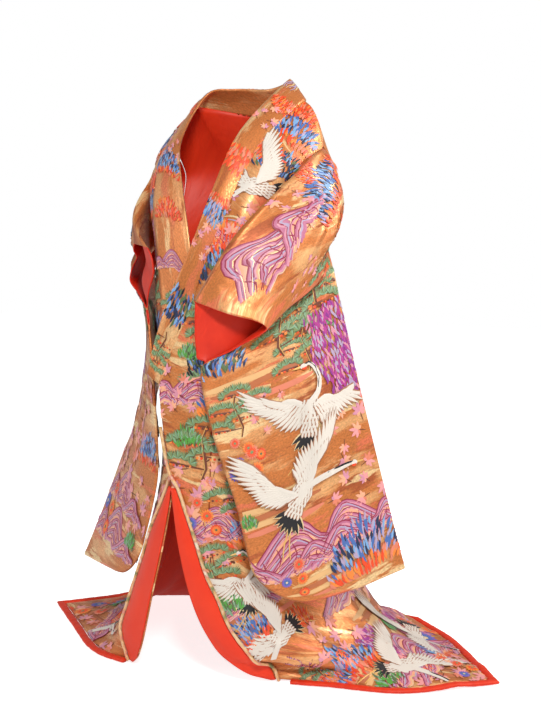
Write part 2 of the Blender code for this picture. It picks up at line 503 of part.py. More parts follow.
def sleeve(name, outer, inner, slot):
    bm = bmesh.new()
    sheet(bm, outer)
    sheet(bm, inner[:, ::-1])
    bmesh.ops.remove_doubles(bm, verts=bm.verts, dist=0.00001)
    bmesh.ops.recalc_face_normals(bm, faces=bm.faces)
    middle = sum((f.calc_center_median() for f in bm.faces), Vector()) / len(bm.faces)
    if sum((f.calc_center_median() - middle).dot(f.normal) * f.calc_area() for f in bm.faces) < 0:
        bmesh.ops.reverse_faces(bm, faces=bm.faces)
    return add(name, bm, slot, WALL, offset=1.0, recalc=False)


for side, tag, out_table, in_table, folds, off, off_out in (
        (1, "left", SLEEVE_L_OUT, SLEEVE_L_IN, FOLDS_SLEEVE_L, 0.0075, 0.0235),
        (-1, "right", SLEEVE_R_OUT, SLEEVE_R_IN, FOLDS_SLEEVE_R, 0.0085, 0.0120)):
    outer, inner = sleeve_sheets(out_table, in_table, folds, side, off, off_out)
    sleeve("sleeve_" + tag, outer, inner, "brocade")

# ---------------------------------------------------------------- padded hem roll
line, above = (np.concatenate([hem_line[1][k], hem_line[-1][k][::-1][1:]]) for k in (0, 1))
keep = np.concatenate([[True], np.linalg.norm(np.diff(line, axis=0), axis=-1) > 0.004])
line, above = line[keep], above[keep]
rise = np.abs(unit(above - line)[:, 2])
seg = unit(np.diff(line * np.array([1, 1, 0]), axis=0))
out = np.stack([seg[:, 1], -seg[:, 0], 0 * seg[:, 0]], -1)
before, after = np.concatenate([out[:1], out]), np.concatenate([out, out[-1:]])
mitre = unit(before + after)
stretch = 1 / np.maximum((mitre * after).sum(-1), 0.5)
path = line + mitre * (stretch * (HEM_W / 2 + SEAM + 0.0012 + WALL / 2 * rise))[:, None]
path[:, 2] = np.maximum(line[:, 2], HEM_H / 2 + 0.0008)
ang = np.linspace(0, 2 * np.pi, 8, endpoint=False)
bm = bmesh.new()
rings = [[bm.verts.new(p + m * k * HEM_W / 2 * np.cos(a) + np.array([0, 0, HEM_H / 2 * np.sin(a)]))
          for a in ang] for p, m, k in zip(path, mitre, stretch)]
for a, b in zip(rings, rings[1:]):
    for k in range(8):
        bm.faces.new((a[k], a[(k + 1) % 8], b[(k + 1) % 8], b[k]))
bm.faces.new(rings[0][::-1])
bm.faces.new(rings[-1])
add("hem_roll", bm, "lining")
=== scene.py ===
"""Looks of a long-sleeved wedding over-robe of gold brocade, lined and edged in vermilion silk.

Lengths are metres, and millimetres inside in_mm(). Heights in the tables are above the floor. Everything is
moved by ORIGIN, which lies in the neck hollow where the robe is held. Z is up, the wearer faces -Y and their
left side is +X.
"""
import json
import math

import bpy
import bmesh
import numpy as np
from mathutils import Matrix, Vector

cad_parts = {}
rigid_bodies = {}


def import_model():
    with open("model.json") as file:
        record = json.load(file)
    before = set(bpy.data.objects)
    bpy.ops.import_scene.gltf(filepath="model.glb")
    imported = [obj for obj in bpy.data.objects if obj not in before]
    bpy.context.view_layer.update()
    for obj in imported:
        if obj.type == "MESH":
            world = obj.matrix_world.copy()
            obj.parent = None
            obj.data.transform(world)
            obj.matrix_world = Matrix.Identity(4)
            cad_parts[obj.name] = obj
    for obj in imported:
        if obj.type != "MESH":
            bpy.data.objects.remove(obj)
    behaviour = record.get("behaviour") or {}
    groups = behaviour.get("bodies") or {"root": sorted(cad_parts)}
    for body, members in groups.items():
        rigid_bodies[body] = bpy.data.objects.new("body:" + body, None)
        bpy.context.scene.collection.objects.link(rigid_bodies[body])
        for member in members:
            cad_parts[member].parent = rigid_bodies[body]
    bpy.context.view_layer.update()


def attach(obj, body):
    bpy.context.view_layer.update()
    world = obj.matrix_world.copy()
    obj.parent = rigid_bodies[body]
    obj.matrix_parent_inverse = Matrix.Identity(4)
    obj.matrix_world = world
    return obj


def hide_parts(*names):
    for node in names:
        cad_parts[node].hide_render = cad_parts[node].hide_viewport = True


# ---------------------------------------------------------------- studio
# A pale floor under the train, an even white surround and three large soft lamps: one ahead and to the
# wearer's left, one behind it for the folds, and a weak one from the other side.
for old in list(bpy.data.objects):
    bpy.data.objects.remove(old, do_unlink=True)
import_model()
ORIGIN = np.array([0.0, 0.060, 1.240])
scene = bpy.context.scene
scene.view_settings.view_transform = "Standard"
scene.view_settings.look = "None"


def in_mm(rows, *shape):
    """A table written in millimetres, given in metres; shape splits up each row."""
    rows = np.array(rows) / 1000
    return rows.reshape(-1, *shape) if shape else rows


def add_node(tree, kind, values=(), **settings):
    """A shader node with its settings; each listed input gets a value or a link from a socket."""
    made = tree.nodes.new("ShaderNode" + kind)
    for name, value in settings.items():
        setattr(made, name, value)
    for name, value in dict(values).items():
        if isinstance(value, bpy.types.NodeSocket):
            tree.links.new(value, made.inputs[name])
        else:
            made.inputs[name].default_value = value
    return made


def new_material(name, roughness, colour=(0.8, 0.8, 0.8), **plain):
    """A Principled material with its plain values set; returns the material, its tree and the shader."""
    made = bpy.data.materials.new(name)
    made.use_nodes = True
    shader = made.node_tree.nodes["Principled BSDF"]
    shader.inputs["Base Color"].default_value = (*colour, 1)
    shader.inputs["Roughness"].default_value = roughness
    for socket, value in plain.items():
        shader.inputs[socket.replace("_", " ").title().replace("Ior", "IOR")].default_value = value
    return made, made.node_tree, shader


def ranged(tree, value, low, high, to_low=0.0, to_high=1.0, **settings):
    """A value with its range from low to high spread over another range, and held at the ends."""
    values = {"Value": value, "From Min": low, "From Max": high, "To Min": to_low, "To Max": to_high}
    return add_node(tree, "MapRange", values, **settings).outputs[0]


def cloth_noise(tree, scale, detail, location=(0, 0, 0), rotation=0.0, **more):
    """Cloudy noise over a cloth's own places, stretched by scale."""
    place = add_node(tree, "UVMap", uv_map="cloth")
    spread = add_node(tree, "Mapping", {"Vector": place.outputs[0], "Rotation": (0, 0, rotation),
                                        "Location": location, "Scale": (*scale, 1)})
    values = {"Vector": spread.outputs[0], "Scale": 1.0, "Detail": detail, **more}
    return add_node(tree, "TexNoise", values).outputs["Fac"]


def emboss(tree, shader, height, strength, distance):
    """Raises a shader's surface by a height field."""
    relief = add_node(tree, "Bump", {"Height": height, "Strength": strength, "Distance": distance})
    tree.links.new(relief.outputs[0], shader.inputs["Normal"])


FLOOR_HALF, FLOOR_DROP = 9.0, 0.0002
floor_mesh = bpy.data.meshes.new("studio_floor")
floor_mesh.from_pydata([(x * FLOOR_HALF, y * FLOOR_HALF, -ORIGIN[2] - FLOOR_DROP)
                        for x, y in ((-1, -1), (1, -1), (1, 1), (-1, 1))], [], [(0, 1, 2, 3)])
floor = bpy.data.objects.new("studio_floor", floor_mesh)
scene.collection.objects.link(floor)
paper, paper_tree, paper_shader = new_material("floor_paper", 0.9, (0.86, 0.855, 0.845),
                                               emission_color=(1, 1, 1, 1))
glow = ranged(paper_tree, add_node(paper_tree, "LightPath").outputs["Is Camera Ray"], 0, 1, 0.18, 0.82)
paper_tree.links.new(glow, paper_shader.inputs["Emission Strength"])
floor_mesh.materials.append(paper)

world = bpy.data.worlds.new("studio_surround")
world.use_nodes = True
surround = world.node_tree
lit = surround.nodes["Background"]
lit.inputs["Color"].default_value, lit.inputs["Strength"].default_value = (1.0, 0.99, 0.975, 1), 0.30
seen = add_node(surround, "Background", {"Color": (1, 1, 1, 1), "Strength": 1.0})
choice = add_node(surround, "MixShader", {0: add_node(surround, "LightPath").outputs["Is Camera Ray"],
                                          1: lit.outputs[0], 2: seen.outputs[0]})
surround.links.new(choice.outputs[0], surround.nodes["World Output"].inputs["Surface"])
scene.world = world
LAMPS = [   # name, place, size, power in watts, colour
    ("key_lamp", (2.4, -2.6, 2.1), 0.8, 120, (1.0, 0.98, 0.95)),
    ("rim_lamp", (2.6, 1.6, 1.4), 1.0, 66, (1.0, 0.97, 0.93)),
    ("fill_lamp", (-2.6, -2.6, 0.9), 1.8, 30, (0.98, 0.98, 1.0)),
]
AIM = Vector((0.1, -0.05, -0.45))
for name, place, size, watts, colour in LAMPS:
    lamp = bpy.data.lights.new(name, "AREA")
    lamp.energy, lamp.color, lamp.size = watts, colour, size
    stand = bpy.data.objects.new(name, lamp)
    stand.location = place
    stand.rotation_euler = (AIM - Vector(place)).to_track_quat("-Z", "Y").to_euler()
    scene.collection.objects.link(stand)

TURN, TILT, REACH = math.radians(35), math.radians(6), 3.1    # round from the front, up, and off the middle
back = Vector((math.sin(TURN) * math.cos(TILT), -math.cos(TURN) * math.cos(TILT), math.sin(TILT)))
middle = Vector((math.cos(TURN), math.sin(TURN), 0)) * 0.0965 + Vector((0, 0, 0.69)) - Vector(ORIGIN)
camera = bpy.data.objects.new("camera", bpy.data.cameras.new("camera"))
camera.data.lens, camera.data.sensor_width = 65.0, 36.0
camera.location = middle + back * REACH
camera.rotation_euler = back.to_track_quat("Z", "Y").to_euler()
scene.collection.objects.link(camera)
scene.camera = camera

# ---------------------------------------------------------------- body strips
# Each body strip is one length of brocade from the front hem over the shoulder to the back hem, sewn to its
# neighbour down the back and to itself down the side. It is lined, so its inner side is vermilion.
WALL = 0.003
SEAM, SEAM_PLAY, MITRE = 0.0003, 0.0004, 2.4       # gap of a sewn seam, and what its walls' mitre adds
TIP_GAP = 0.0012        # gap at the overlap panel's tip
FLOOR_Z = 0.0065
NECK_SHARE = 0.47       # share of the back's half width taken by the shoulder line
ARMHOLE_FOOT = 4        # station where the armhole ends and the side seam starts
# Left front, collar seam and free edge (c0) to side (c3), shoulder to hem. Columns: c0 xyz, c1, c2, c3.
FRONT_L = in_mm([
    [154, 80, 1298,  180, 78, 1277,  203, 75, 1235,  215, 70, 1190],   # shoulder
    [137, -60, 1200,  172, -45, 1185,  203, -16, 1155,  224, 14, 1120],
    [124, -145, 1087,  165, -132, 1075,  198, -84, 1055,  224, -8, 1030],
    [94, -190, 967,  145, -178, 960,  184, -118, 950,  226, 0, 930],
    [48, -230, 802,  120, -210, 800,  180, -135, 795,  232, 30, 790],   # under the arm
    [-4, -255, 656,  128, -232, 656,  185, -140, 650,  218, 30, 650],   # collar end
    [31, -265, 469,  127, -243, 470,  192, -150, 470,  220, 32, 470],
    [60, -275, 320,  134, -254, 320,  208, -160, 320,  240, 36, 320],
    [95, -272, 190,  172, -250, 190,  245, -165, 190,  285, 45, 185],
    [135, -248, 90,  228, -222, 88,  310, -140, 85,  370, 58, 80],
    [193, -220, 30,  318, -122, 34,  425, -60, 32,  505, 78, 26],   # floor
    [240, -170, 6.5,  370, -117, 6.5,  515, -60, 6.5,  640, 92, 6.5],   # hem
], 4, 3)
# Right front, which lies under the left one down to the thigh. Same stations and columns.
FRONT_R = in_mm([
    [-154, 80, 1298,  -180, 78, 1277,  -203, 75, 1235,  -215, 70, 1190],
    [-140, -60, 1195,  -172, -45, 1183,  -200, -14, 1155,  -220, 16, 1120],
    [-115, -135, 1087,  -148, -108, 1075,  -176, -62, 1055,  -212, 0, 1030],
    [-75, -175, 967,  -112, -136, 960,  -150, -76, 950,  -198, 4, 930],
    [-28, -208, 802,  -80, -172, 800,  -135, -85, 795,  -192, 30, 790],
    [35, -232, 656,  -30, -198, 656,  -122, -98, 650,  -190, 30, 650],
    [36, -252, 469,  -28, -212, 470,  -122, -94, 470,  -172, 32, 470],
    [29, -283, 320,  -60, -224, 320,  -134, -92, 320,  -190, 36, 320],
    [3, -296, 190,  -100, -233, 190,  -160, -90, 190,  -225, 30, 185],
    [-25, -293, 90,  -142, -240, 88,  -200, -95, 85,  -285, 15, 80],
    [-60, -272, 30,  -180, -228, 28,  -285, -105, 24,  -395, 0, 20],
    [-85, -260, 6.5,  -215, -235, 6.5,  -380, -125, 6.5,  -535, -16, 6.5],
], 4, 3)
# Back, left side to right side. Columns: left side, left quarter, centre, right quarter, right side.
BACK = in_mm([
    [215, 70, 1190,  100, 140, 1285,  0, 178, 1272,  -100, 140, 1285,  -215, 70, 1190],
    [224, 115, 1130,  130, 175, 1165,  0, 200, 1180,  -130, 175, 1165,  -222, 115, 1130],
    [228, 80, 1030,  140, 175, 1040,  0, 215, 1045,  -135, 172, 1040,  -214, 80, 1030],
    [230, 46, 930,  140, 168, 930,  0, 220, 930,  -135, 164, 930,  -200, 46, 930],
    [232, 30, 790,  140, 170, 790,  0, 222, 790,  -135, 162, 790,  -192, 30, 790],
    [218, 30, 650,  150, 178, 640,  0, 228, 635,  -140, 168, 640,  -190, 30, 650],
    [220, 32, 470,  160, 190, 460,  0, 238, 455,  -140, 170, 460,  -172, 32, 470],
    [240, 36, 320,  180, 205, 305,  0, 252, 300,  -150, 180, 305,  -190, 36, 320],
    [285, 45, 185,  215, 225, 165,  0, 270, 160,  -175, 195, 165,  -225, 30, 185],
    [370, 58, 80,  260, 258, 70,  0, 296, 65,  -215, 215, 70,  -285, 15, 80],
    [505, 78, 26,  310, 310, 28,  0, 340, 26,  -285, 220, 24,  -395, 0, 20],
    [640, 92, 6.5,  350, 345, 6.5,  0, 385, 6.5,  -370, 205, 6.5,  -535, -16, 6.5],
], 5, 3)
# Neck curve at the back, left neck point to right neck point.
NECK = in_mm([
    [154, 80, 1298], [124, 124, 1292], [68, 164, 1280], [0, 178, 1272], [-68, 164, 1280], [-124, 124, 1292],
    [-154, 80, 1298],
])
# Share of the front's width that is the overlap panel, by station.
OVERLAP_AT = [(2.0, 0.0), (3.0, 0.45), (4.0, 0.85), (5.0, 1.0), (11.0, 1.0)]
# Main folds: start xyz, end xyz, height, half width. A negative height is a hollow.
FOLDS_L = in_mm([
    [150, -250, 520, 260, -140, 300, 10, 26], [140, -255, 360, 230, -180, 200, -10, 22],
    [340, -120, 70, 180, -235, 75, 16, 22], [390, -100, 35, 230, -200, 35, -12, 20],
    [430, -70, 45, 300, -165, 30, 14, 22], [590, 20, 20, 380, 20, 80, 14, 30],
])
FOLDS_BACK = in_mm([
    [580, 120, 20, 340, 120, 110, 16, 34], [450, 240, 20, 270, 180, 120, -14, 32],
    [300, 370, 20, 170, 230, 160, 18, 36], [120, 390, 20, 60, 260, 170, -14, 34],
    [-60, 380, 20, -40, 260, 180, 16, 36], [-240, 300, 20, -130, 210, 160, -12, 34],
    [-420, 140, 18, -210, 120, 110, 12, 32],
])
# Stations of the pattern's rows. The strip is open at the armhole and sewn to itself from station 4 down.
S_ROWS = np.array([0, 0.5, 1, 1.5, 2, 2.5, 3, 3.5, 4, 4.5, 5, 5.5, 6, 6.5, 7, 7.5, 8, 8.5, 9, 9.33, 9.67, 10,
                   10.33, 10.67, 11])
N_OVER, N_FRONT, N_NECK = 6, 10, 5      # columns of the overlap, of the front, and beside the neck
TIP_ROW = 5                     # first row of the pattern below the overlap panel's tip
HEM_FROM = {1: 2, -1: 1}        # overlap column where the hem roll starts, clear of the turned-back corner


def chain(rows, s):
    """Smooth curve through the rows of a table, s counted in rows."""
    rows = np.asarray(rows, float)
    n = len(rows)
    ext = np.concatenate([[2 * rows[0] - rows[1]], rows, [2 * rows[-1] - rows[-2]]])
    s = np.clip(np.asarray(s, float), 0, n - 1)
    i = np.minimum(s.astype(int), n - 2)
    f = (s - i).reshape((-1,) + (1,) * (rows.ndim - 1))
    a, b, c, d = ext[i], ext[i + 1], ext[i + 2], ext[i + 3]
    square, cube = 2 * a - 5 * b + 4 * c - d, 3 * b - a - 3 * c + d
    return 0.5 * (2 * b + (c - a) * f + square * f ** 2 + cube * f ** 3)


def patch(table, s, t):
    """Point grid of a table's smooth surface: s counts rows, t (a list, or one list per s) counts columns."""
    lines = chain(table, s)
    t = np.broadcast_to(np.asarray(t, float), (len(s), np.shape(t)[-1]))
    return np.array([chain(line, tt) for line, tt in zip(lines, t)])


def normals(grid, sign=1.0):
    """Unit normals of a point grid."""
    ds = np.gradient(grid, axis=0)
    dt = np.gradient(grid, axis=1)
    n = np.cross(ds, dt)
    return sign * n / np.maximum(np.linalg.norm(n, axis=-1, keepdims=True), 1e-9)


def folded(grid, folds, sign):
    """Adds the listed folds along the normal, each strongest halfway along."""
    rise = np.zeros(grid.shape[:2])
    for fold in folds:
        a, b, (height, half) = fold[:3], fold[3:6], fold[6:]
        u = np.clip(((grid - a) @ (b - a)) / ((b - a) @ (b - a)), 0, 1)
        dist = np.linalg.norm(grid - (a + u[..., None] * (b - a)), axis=-1)
        rise += height * np.exp(-(dist / half) ** 2) * (0.35 + 0.65 * np.sin(np.pi * np.clip(u, 0.08, 0.92)))
    return grid + normals(grid, sign) * rise[..., None]


def settled(grid, folds, sign):
    """A grid with its main folds, its first row kept and none of it under the floor."""
    first = grid[0].copy()
    grid = folded(grid, folds, sign)
    grid[0] = first
    return above_floor(grid)


def above_floor(grid):
    """The same grid, with none of it under the floor."""
    grid[..., 2] = np.maximum(grid[..., 2], FLOOR_Z)
    return grid


def lerp_at(pairs, s):
    """Value at s along straight lines between (place, value) pairs."""
    return np.interp(s, *zip(*pairs))


def length_along(path):
    """How far each point of a path lies from its start, along it."""
    return np.concatenate([[0], np.cumsum(np.linalg.norm(np.diff(path, axis=0), axis=-1))])


def unit(v):
    """Vectors scaled to length one."""
    return v / np.maximum(np.linalg.norm(v, axis=-1, keepdims=True), 1e-9)


def part_seam(left_in, edge, right_in):
    """The two sides of a seam line, drawn apart by the seam gap and the walls' mitre."""
    a, b = unit(left_in - edge), unit(right_in - edge)
    half = np.sqrt(np.clip((1 + (a * b).sum(-1, keepdims=True)) / 2, 0, 0.5))
    step = SEAM / 2 + SEAM_PLAY + WALL / 2 * half * MITRE
    return edge + a * step, edge + b * step


def front_whole(table, folds, sign):
    """Overlap and front as one grid, so both sides of their seam match."""
    start = lerp_at(OVERLAP_AT, S_ROWS)
    t = np.concatenate([np.linspace(0, 1, N_OVER + 1)[None, :] * start[:, None],
                        start[:, None] + (3 - start[:, None]) * np.linspace(0, 1, N_FRONT + 1)[None, 1:]], 1)
    return settled(patch(table, S_ROWS, t), folds, sign)


def back_half(side, shoulder, front_side):
    """Back from the side to the centre; its first row is the shoulder line and the neck curve."""
    tip_to_neck = 2 * NECK_SHARE * np.linspace(0, 1, N_FRONT + 1)
    j = np.concatenate([tip_to_neck, np.linspace(2 * NECK_SHARE, 2, N_NECK + 1)[1:]])
    table = np.array([chain(row, j if side > 0 else 4 - j) for row in BACK])
    neck = np.linspace(0, 3, N_NECK + 1)[1:]
    table[0, :N_FRONT + 1] = shoulder[::-1]
    table[0, N_FRONT + 1:] = chain(NECK, neck if side > 0 else 6 - neck)
    grid = settled(chain(table, S_ROWS), FOLDS_BACK, side)
    low = S_ROWS >= ARMHOLE_FOOT
    grid[low, 0] = front_side[low]
    return grid


FINER = 5       # steps of the cloth's mesh to one of the pattern's


def finer(grid, k=FINER):
    """The same surface with k times as many rows and columns, smooth through the pattern's points."""
    grid = chain(grid, np.linspace(0, len(grid) - 1, (len(grid) - 1) * k + 1))
    turned = grid.swapaxes(0, 1)
    return chain(turned, np.linspace(0, len(turned) - 1, (len(turned) - 1) * k + 1)).swapaxes(0, 1)


def crease_steps(grid, creases, sign, still=3):
    """How far curved creases move each point along the normal, fading out near the grid's sewn edges.

    A crease is a row of three places xyz, its height (negative for a trough) and its half width.
    """
    rows, cols = grid.shape[:2]
    i, j = np.arange(rows)[:, None], np.arange(cols)[None, :]
    hold = np.clip(np.minimum(np.minimum(i, rows - 1 - i), np.minimum(j, cols - 1 - j)) / still, 0, 1)
    rise = np.zeros((rows, cols))
    steps = np.linspace(0, 2, 17)
    for crease in creases:
        line, (height, half) = chain(crease[:9].reshape(3, 3), steps), crease[9:]
        gap = np.linalg.norm(grid[:, :, None] - line[None, None], axis=-1)
        near = gap.argmin(-1)
        swell = np.sin(np.pi * np.clip((near + 1.5) / (len(steps) + 2), 0, 1)) ** 0.7
        rise += height * swell * np.exp(-(gap.min(-1) / half) ** 2)
    return normals(grid, sign) * (rise * hold * hold * (3 - 2 * hold))[..., None]


def cloth_places(grid, column=0):
    """Across and down places of each point on the cloth, in metres, measured along it from a column."""
    across = np.linalg.norm(np.diff(grid, axis=1), axis=-1)
    across = np.concatenate([np.zeros((len(grid), 1)), np.cumsum(across, 1)], 1)
    down = np.linalg.norm(np.diff(grid, axis=0), axis=-1)
    down = np.concatenate([np.zeros((1, grid.shape[1])), np.cumsum(down, 0)], 0)
    return np.stack([across - across[:, column:column + 1], -down], -1)


def put(name, points, faces, slots, uv=None, mend=None):
    """Puts a smooth mesh and its materials in the scene as a piece of the robe. Points lie above the floor."""
    mesh = bpy.data.meshes.new(name)
    mesh.from_pydata((points - ORIGIN).tolist(), [], faces)
    if uv is not None:
        mesh.uv_layers.new(name="cloth").data.foreach_set("uv", uv.astype(np.float32).ravel())
    if mend:
        work = bmesh.new()
        work.from_mesh(mesh)
        mend(work)
        work.to_mesh(mesh)
        work.free()
    mesh.polygons.foreach_set("use_smooth", [True] * len(mesh.polygons))
    for slot in slots:
        mesh.materials.append(slot)
    made = bpy.data.objects.new(name, mesh)
    scene.collection.objects.link(made)
    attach(made, "root")
    return made


def weld(work):
    bmesh.ops.remove_doubles(work, verts=work.verts, dist=0.00002)


def stand_for(node, made):
    """Hides the solid that a piece stands for; the piece itself is not used."""
    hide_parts(node)


def make_cloth(name, leaves, slots, wall=WALL, offset=0.0, rim=0):
    """A walled cloth from point grids; leaves are (grid, places, outward sign), welded where they meet."""
    points, faces, places, first = [], [], [], 0
    for grid, place, sign in leaves:
        rows, cols = grid.shape[:2]
        index = first + np.arange(rows * cols).reshape(rows, cols)
        quads = np.stack([index[:-1, :-1], index[:-1, 1:], index[1:, 1:], index[1:, :-1]], -1).reshape(-1, 4)
        faces.append(quads[:, ::-1] if sign > 0 else quads)
        points.append(grid.reshape(-1, 3))
        places.append(place.reshape(-1, 2))
        first += rows * cols
    faces = np.concatenate(faces)
    uv = np.concatenate(places)[faces.ravel()]
    made = put(name, np.concatenate(points), faces.tolist(), slots, uv, weld)
    body = made.modifiers.new("wall", "SOLIDIFY")
    body.thickness, body.offset, body.use_quality_normals = wall, offset, True
    body.material_offset, body.material_offset_rim = (1, rim) if len(slots) > 1 else (0, 0)
    return made


def gold_ground():
    """Copper silk covered in flat gold thread, shared by all the brocades.

    Level banks of mist in paler gold, rose and rust, each with a soft ragged edge, lie over a gold speckle.
    """
    tree = bpy.data.node_groups.new("gold_ground", "ShaderNodeTree")
    tree.interface.new_socket("Bands", in_out="INPUT", socket_type="NodeSocketFloat").default_value = 1.0
    for name, kind in (("Color", "Color"), ("Gold", "Float"), ("Weave", "Float")):
        tree.interface.new_socket(name, in_out="OUTPUT", socket_type="NodeSocket" + kind)
    given, out = tree.nodes.new("NodeGroupInput"), tree.nodes.new("NodeGroupOutput")

    def cloud(across, down, detail, distortion=0.0, slant=0.0, shift=0.0):
        return cloth_noise(tree, (across, down), detail, (shift, shift, 0), slant, Roughness=0.62,
                           Distortion=distortion)

    colour = (0.64, 0.205, 0.054, 1)
    for across, down, shift, low, high, rgb in (
            (4.4, 17.0, 3.1, 0.48, 0.60, (0.84, 0.43, 0.18)),
            (3.4, 21.0, 7.7, 0.55, 0.61, (0.46, 0.112, 0.036)),
            (3.0, 14.0, 1.3, 0.55, 0.60, (0.80, 0.20, 0.09)),
            (3.2, 19.0, 5.2, 0.575, 0.62, (0.94, 0.64, 0.32))):
        edge = ranged(tree, cloud(across, down, 6.0, shift=shift, slant=0.05), low, high,
                      interpolation_type="SMOOTHSTEP")
        share = add_node(tree, "Math", {0: edge, 1: given.outputs["Bands"]}, operation="MULTIPLY")
        layer = add_node(tree, "Mix", {"Factor": share.outputs[0], 6: colour, 7: (*rgb, 1)}, data_type="RGBA")
        colour = layer.outputs[2]
    speckle = cloud(170.0, 260.0, 3.0)
    fleck = ranged(tree, speckle, 0.32, 0.68, 0.76, 1.20)
    broad = ranged(tree, cloud(9.0, 14.0, 2.0, 0.3), 0.3, 0.7, 0.90, 1.08)
    both = add_node(tree, "Math", {0: fleck, 1: broad}, operation="MULTIPLY")
    flecked = add_node(tree, "Mix", {"Factor": 1.0, 6: colour, 7: both.outputs[0]}, data_type="RGBA",
                       blend_type="MULTIPLY")
    weft = cloud(420.0, 1500.0, 1.0)
    for socket, name in ((flecked.outputs[2], "Color"), (speckle, "Gold"), (weft, "Weave")):
        tree.links.new(socket, out.inputs[name])
    return tree


def brocade(name, bands=1.0):
    """Brocade over the gold ground; bands is how strongly its mist shows."""
    made, tree, shader = new_material(name, 0.42, metallic=0.42, sheen_weight=0.10, sheen_roughness=0.4)
    ground = add_node(tree, "Group", node_tree=gold_ground_group)
    ground.inputs["Bands"].default_value = bands
    emboss(tree, shader, ground.outputs["Weave"], 0.30, 0.0004)
    tree.links.new(ground.outputs["Color"], shader.inputs["Base Color"])
    tree.links.new(ranged(tree, ground.outputs["Gold"], 0.35, 0.7, 0.50, 0.30), shader.inputs["Roughness"])
    return made


gold_ground_group = gold_ground()
body_brocade = brocade("body_brocade")


def silk(name, colour, shade, across=26.0, along=26.0):
    """Plain silk over soft wadding with shallow puckers; its colour is painted darker in their hollows, as
    painted shade.
    """
    made, tree, shader = new_material(name, 0.48, sheen_weight=0.05, sheen_roughness=0.3,
                                      specular_ior_level=0.35)
    cloud = cloth_noise(tree, (across, along), 3.0)
    # painted shade: the same noise that sinks the puckers turns the colour to shade in their hollows
    mixed = add_node(tree, "Mix", {"Factor": cloud, 6: (*shade, 1), 7: (*colour, 1)}, data_type="RGBA")
    emboss(tree, shader, cloud, 0.35, 0.004)
    tree.links.new(mixed.outputs[2], shader.inputs["Base Color"])
    return made


lining_silk = silk("lining_silk", (0.86, 0.052, 0.010), (0.66, 0.024, 0.006))

# Creases beyond the pattern's own folds: three places xyz along each, height, half width.
CREASES_BODY_L = in_mm([
    [120, -262, 600, 165, -245, 560, 215, -190, 535, 6, 12],
    [110, -262, 560, 160, -250, 515, 215, -200, 490, -5, 11],
    [95, -268, 520, 150, -252, 470, 205, -210, 440, 6, 12],
    [190, -235, 200, 240, -205, 120, 300, -165, 65, 10, 14],
    [205, -235, 150, 255, -200, 90, 330, -150, 50, -8, 12],
    [230, -215, 110, 300, -165, 60, 390, -110, 35, 10, 14],
    [300, -120, 120, 390, -80, 50, 480, -50, 25, 9, 16], [330, -60, 110, 430, -20, 50, 540, 10, 20, -7, 16],
    [340, 0, 110, 450, 35, 50, 570, 60, 20, 9, 18],
])
CREASES_BODY_R = in_mm([
    [-120, -200, 120, -200, -170, 50, -300, -140, 22, 9, 16],
    [-140, -150, 110, -230, -120, 50, -360, -90, 22, -7, 15],
    [-150, -100, 120, -260, -70, 55, -420, -40, 20, 9, 18],
])
CREASES_BACK = in_mm([
    [60, 215, 900, 90, 225, 500, 130, 260, 180, 6, 24],
    [-50, 215, 950, -70, 225, 560, -100, 240, 200, 6, 26],
    [120, 190, 800, 160, 200, 420, 210, 230, 160, -6, 24],
    [150, 300, 120, 220, 330, 50, 300, 350, 20, 10, 20],
    [-100, 280, 110, -170, 290, 50, -250, 280, 20, 10, 20],
    [20, 290, 130, 30, 330, 60, 50, 370, 20, -8, 20],
])

fronts, backs, bodies, grounds = {}, {}, {}, {}
hem_line, neck_line, overlaps = {}, {}, {}
for side, table, folds in ((1, FRONT_L, FOLDS_L), (-1, FRONT_R, [])):
    whole = front_whole(table, folds, side)
    front = whole[:, N_OVER:].copy()
    behind = back_half(side, front[0], front[:, -1])
    fronts[side], backs[side] = whole, behind.copy()
    hem_line[side] = (np.concatenate([whole[-1, HEM_FROM[side]:], behind[-1, 1:]]),
                      np.concatenate([whole[-2, HEM_FROM[side]:], behind[-2, 1:]]))
    neck_line[side] = behind[0, N_FRONT:].copy()
    apex = whole[TIP_ROW - 1, :N_OVER + 1] * 0.5 + whole[TIP_ROW, :N_OVER + 1] * 0.5
    over = np.concatenate([[apex], whole[TIP_ROW:, :N_OVER + 1]])
    over[1:, -1], front[TIP_ROW:, 0] = part_seam(over[1:, -2], front[TIP_ROW:, 0], front[TIP_ROW:, 1])
    over[0, -1] += unit(over[0, 0] - over[0, -1]) * TIP_GAP
    over[:3] = over[:3, :1] + (over[:3, -1:] - over[:3, :1]) * np.linspace(0, 1, N_OVER + 1)[None, :, None]
    overlaps[side], bodies[side] = over, [front, behind]
bodies[1][1][:, -1], bodies[-1][1][:, -1] = part_seam(
    bodies[1][1][:, -2], bodies[1][1][:, -1].copy(), bodies[-1][1][:, -2])

for side, tag, creases in ((1, "left", CREASES_BODY_L), (-1, "right", CREASES_BODY_R)):
    joined = finer(np.concatenate([fronts[side], backs[side][:, 1:]], 1))
    steps = crease_steps(joined, np.concatenate([creases, CREASES_BACK]), side)
    joined = above_floor(joined + steps)
    cut, seam = N_OVER * FINER, (N_OVER + N_FRONT) * FINER
    places = cloth_places(joined, seam)
    grounds["body_" + tag] = dict(points=joined, places=places, outward=side, skin=WALL / 2, level=False)
    front, rear = (finer(g) for g in bodies[side])
    front, rear = front + steps[:, cut:seam + 1], rear + steps[:, seam:]
    over = finer(overlaps[side])
    fade = np.clip(np.arange(len(over)) / 8, 0, 1)[:, None, None]
    over = over + steps[(TIP_ROW - 1) * FINER:, :cut + 1] * fade
    for grid in (front, rear, over):
        above_floor(grid)
    leaves = [(front, places[:, cut:seam + 1], side), (rear, places[:, seam:], side)]
    stand_for("body_" + tag, make_cloth(f"body_{tag}_cloth", leaves, (body_brocade, lining_silk)))
    overlaps[side] = over, places[(TIP_ROW - 1) * FINER:, :cut + 1]

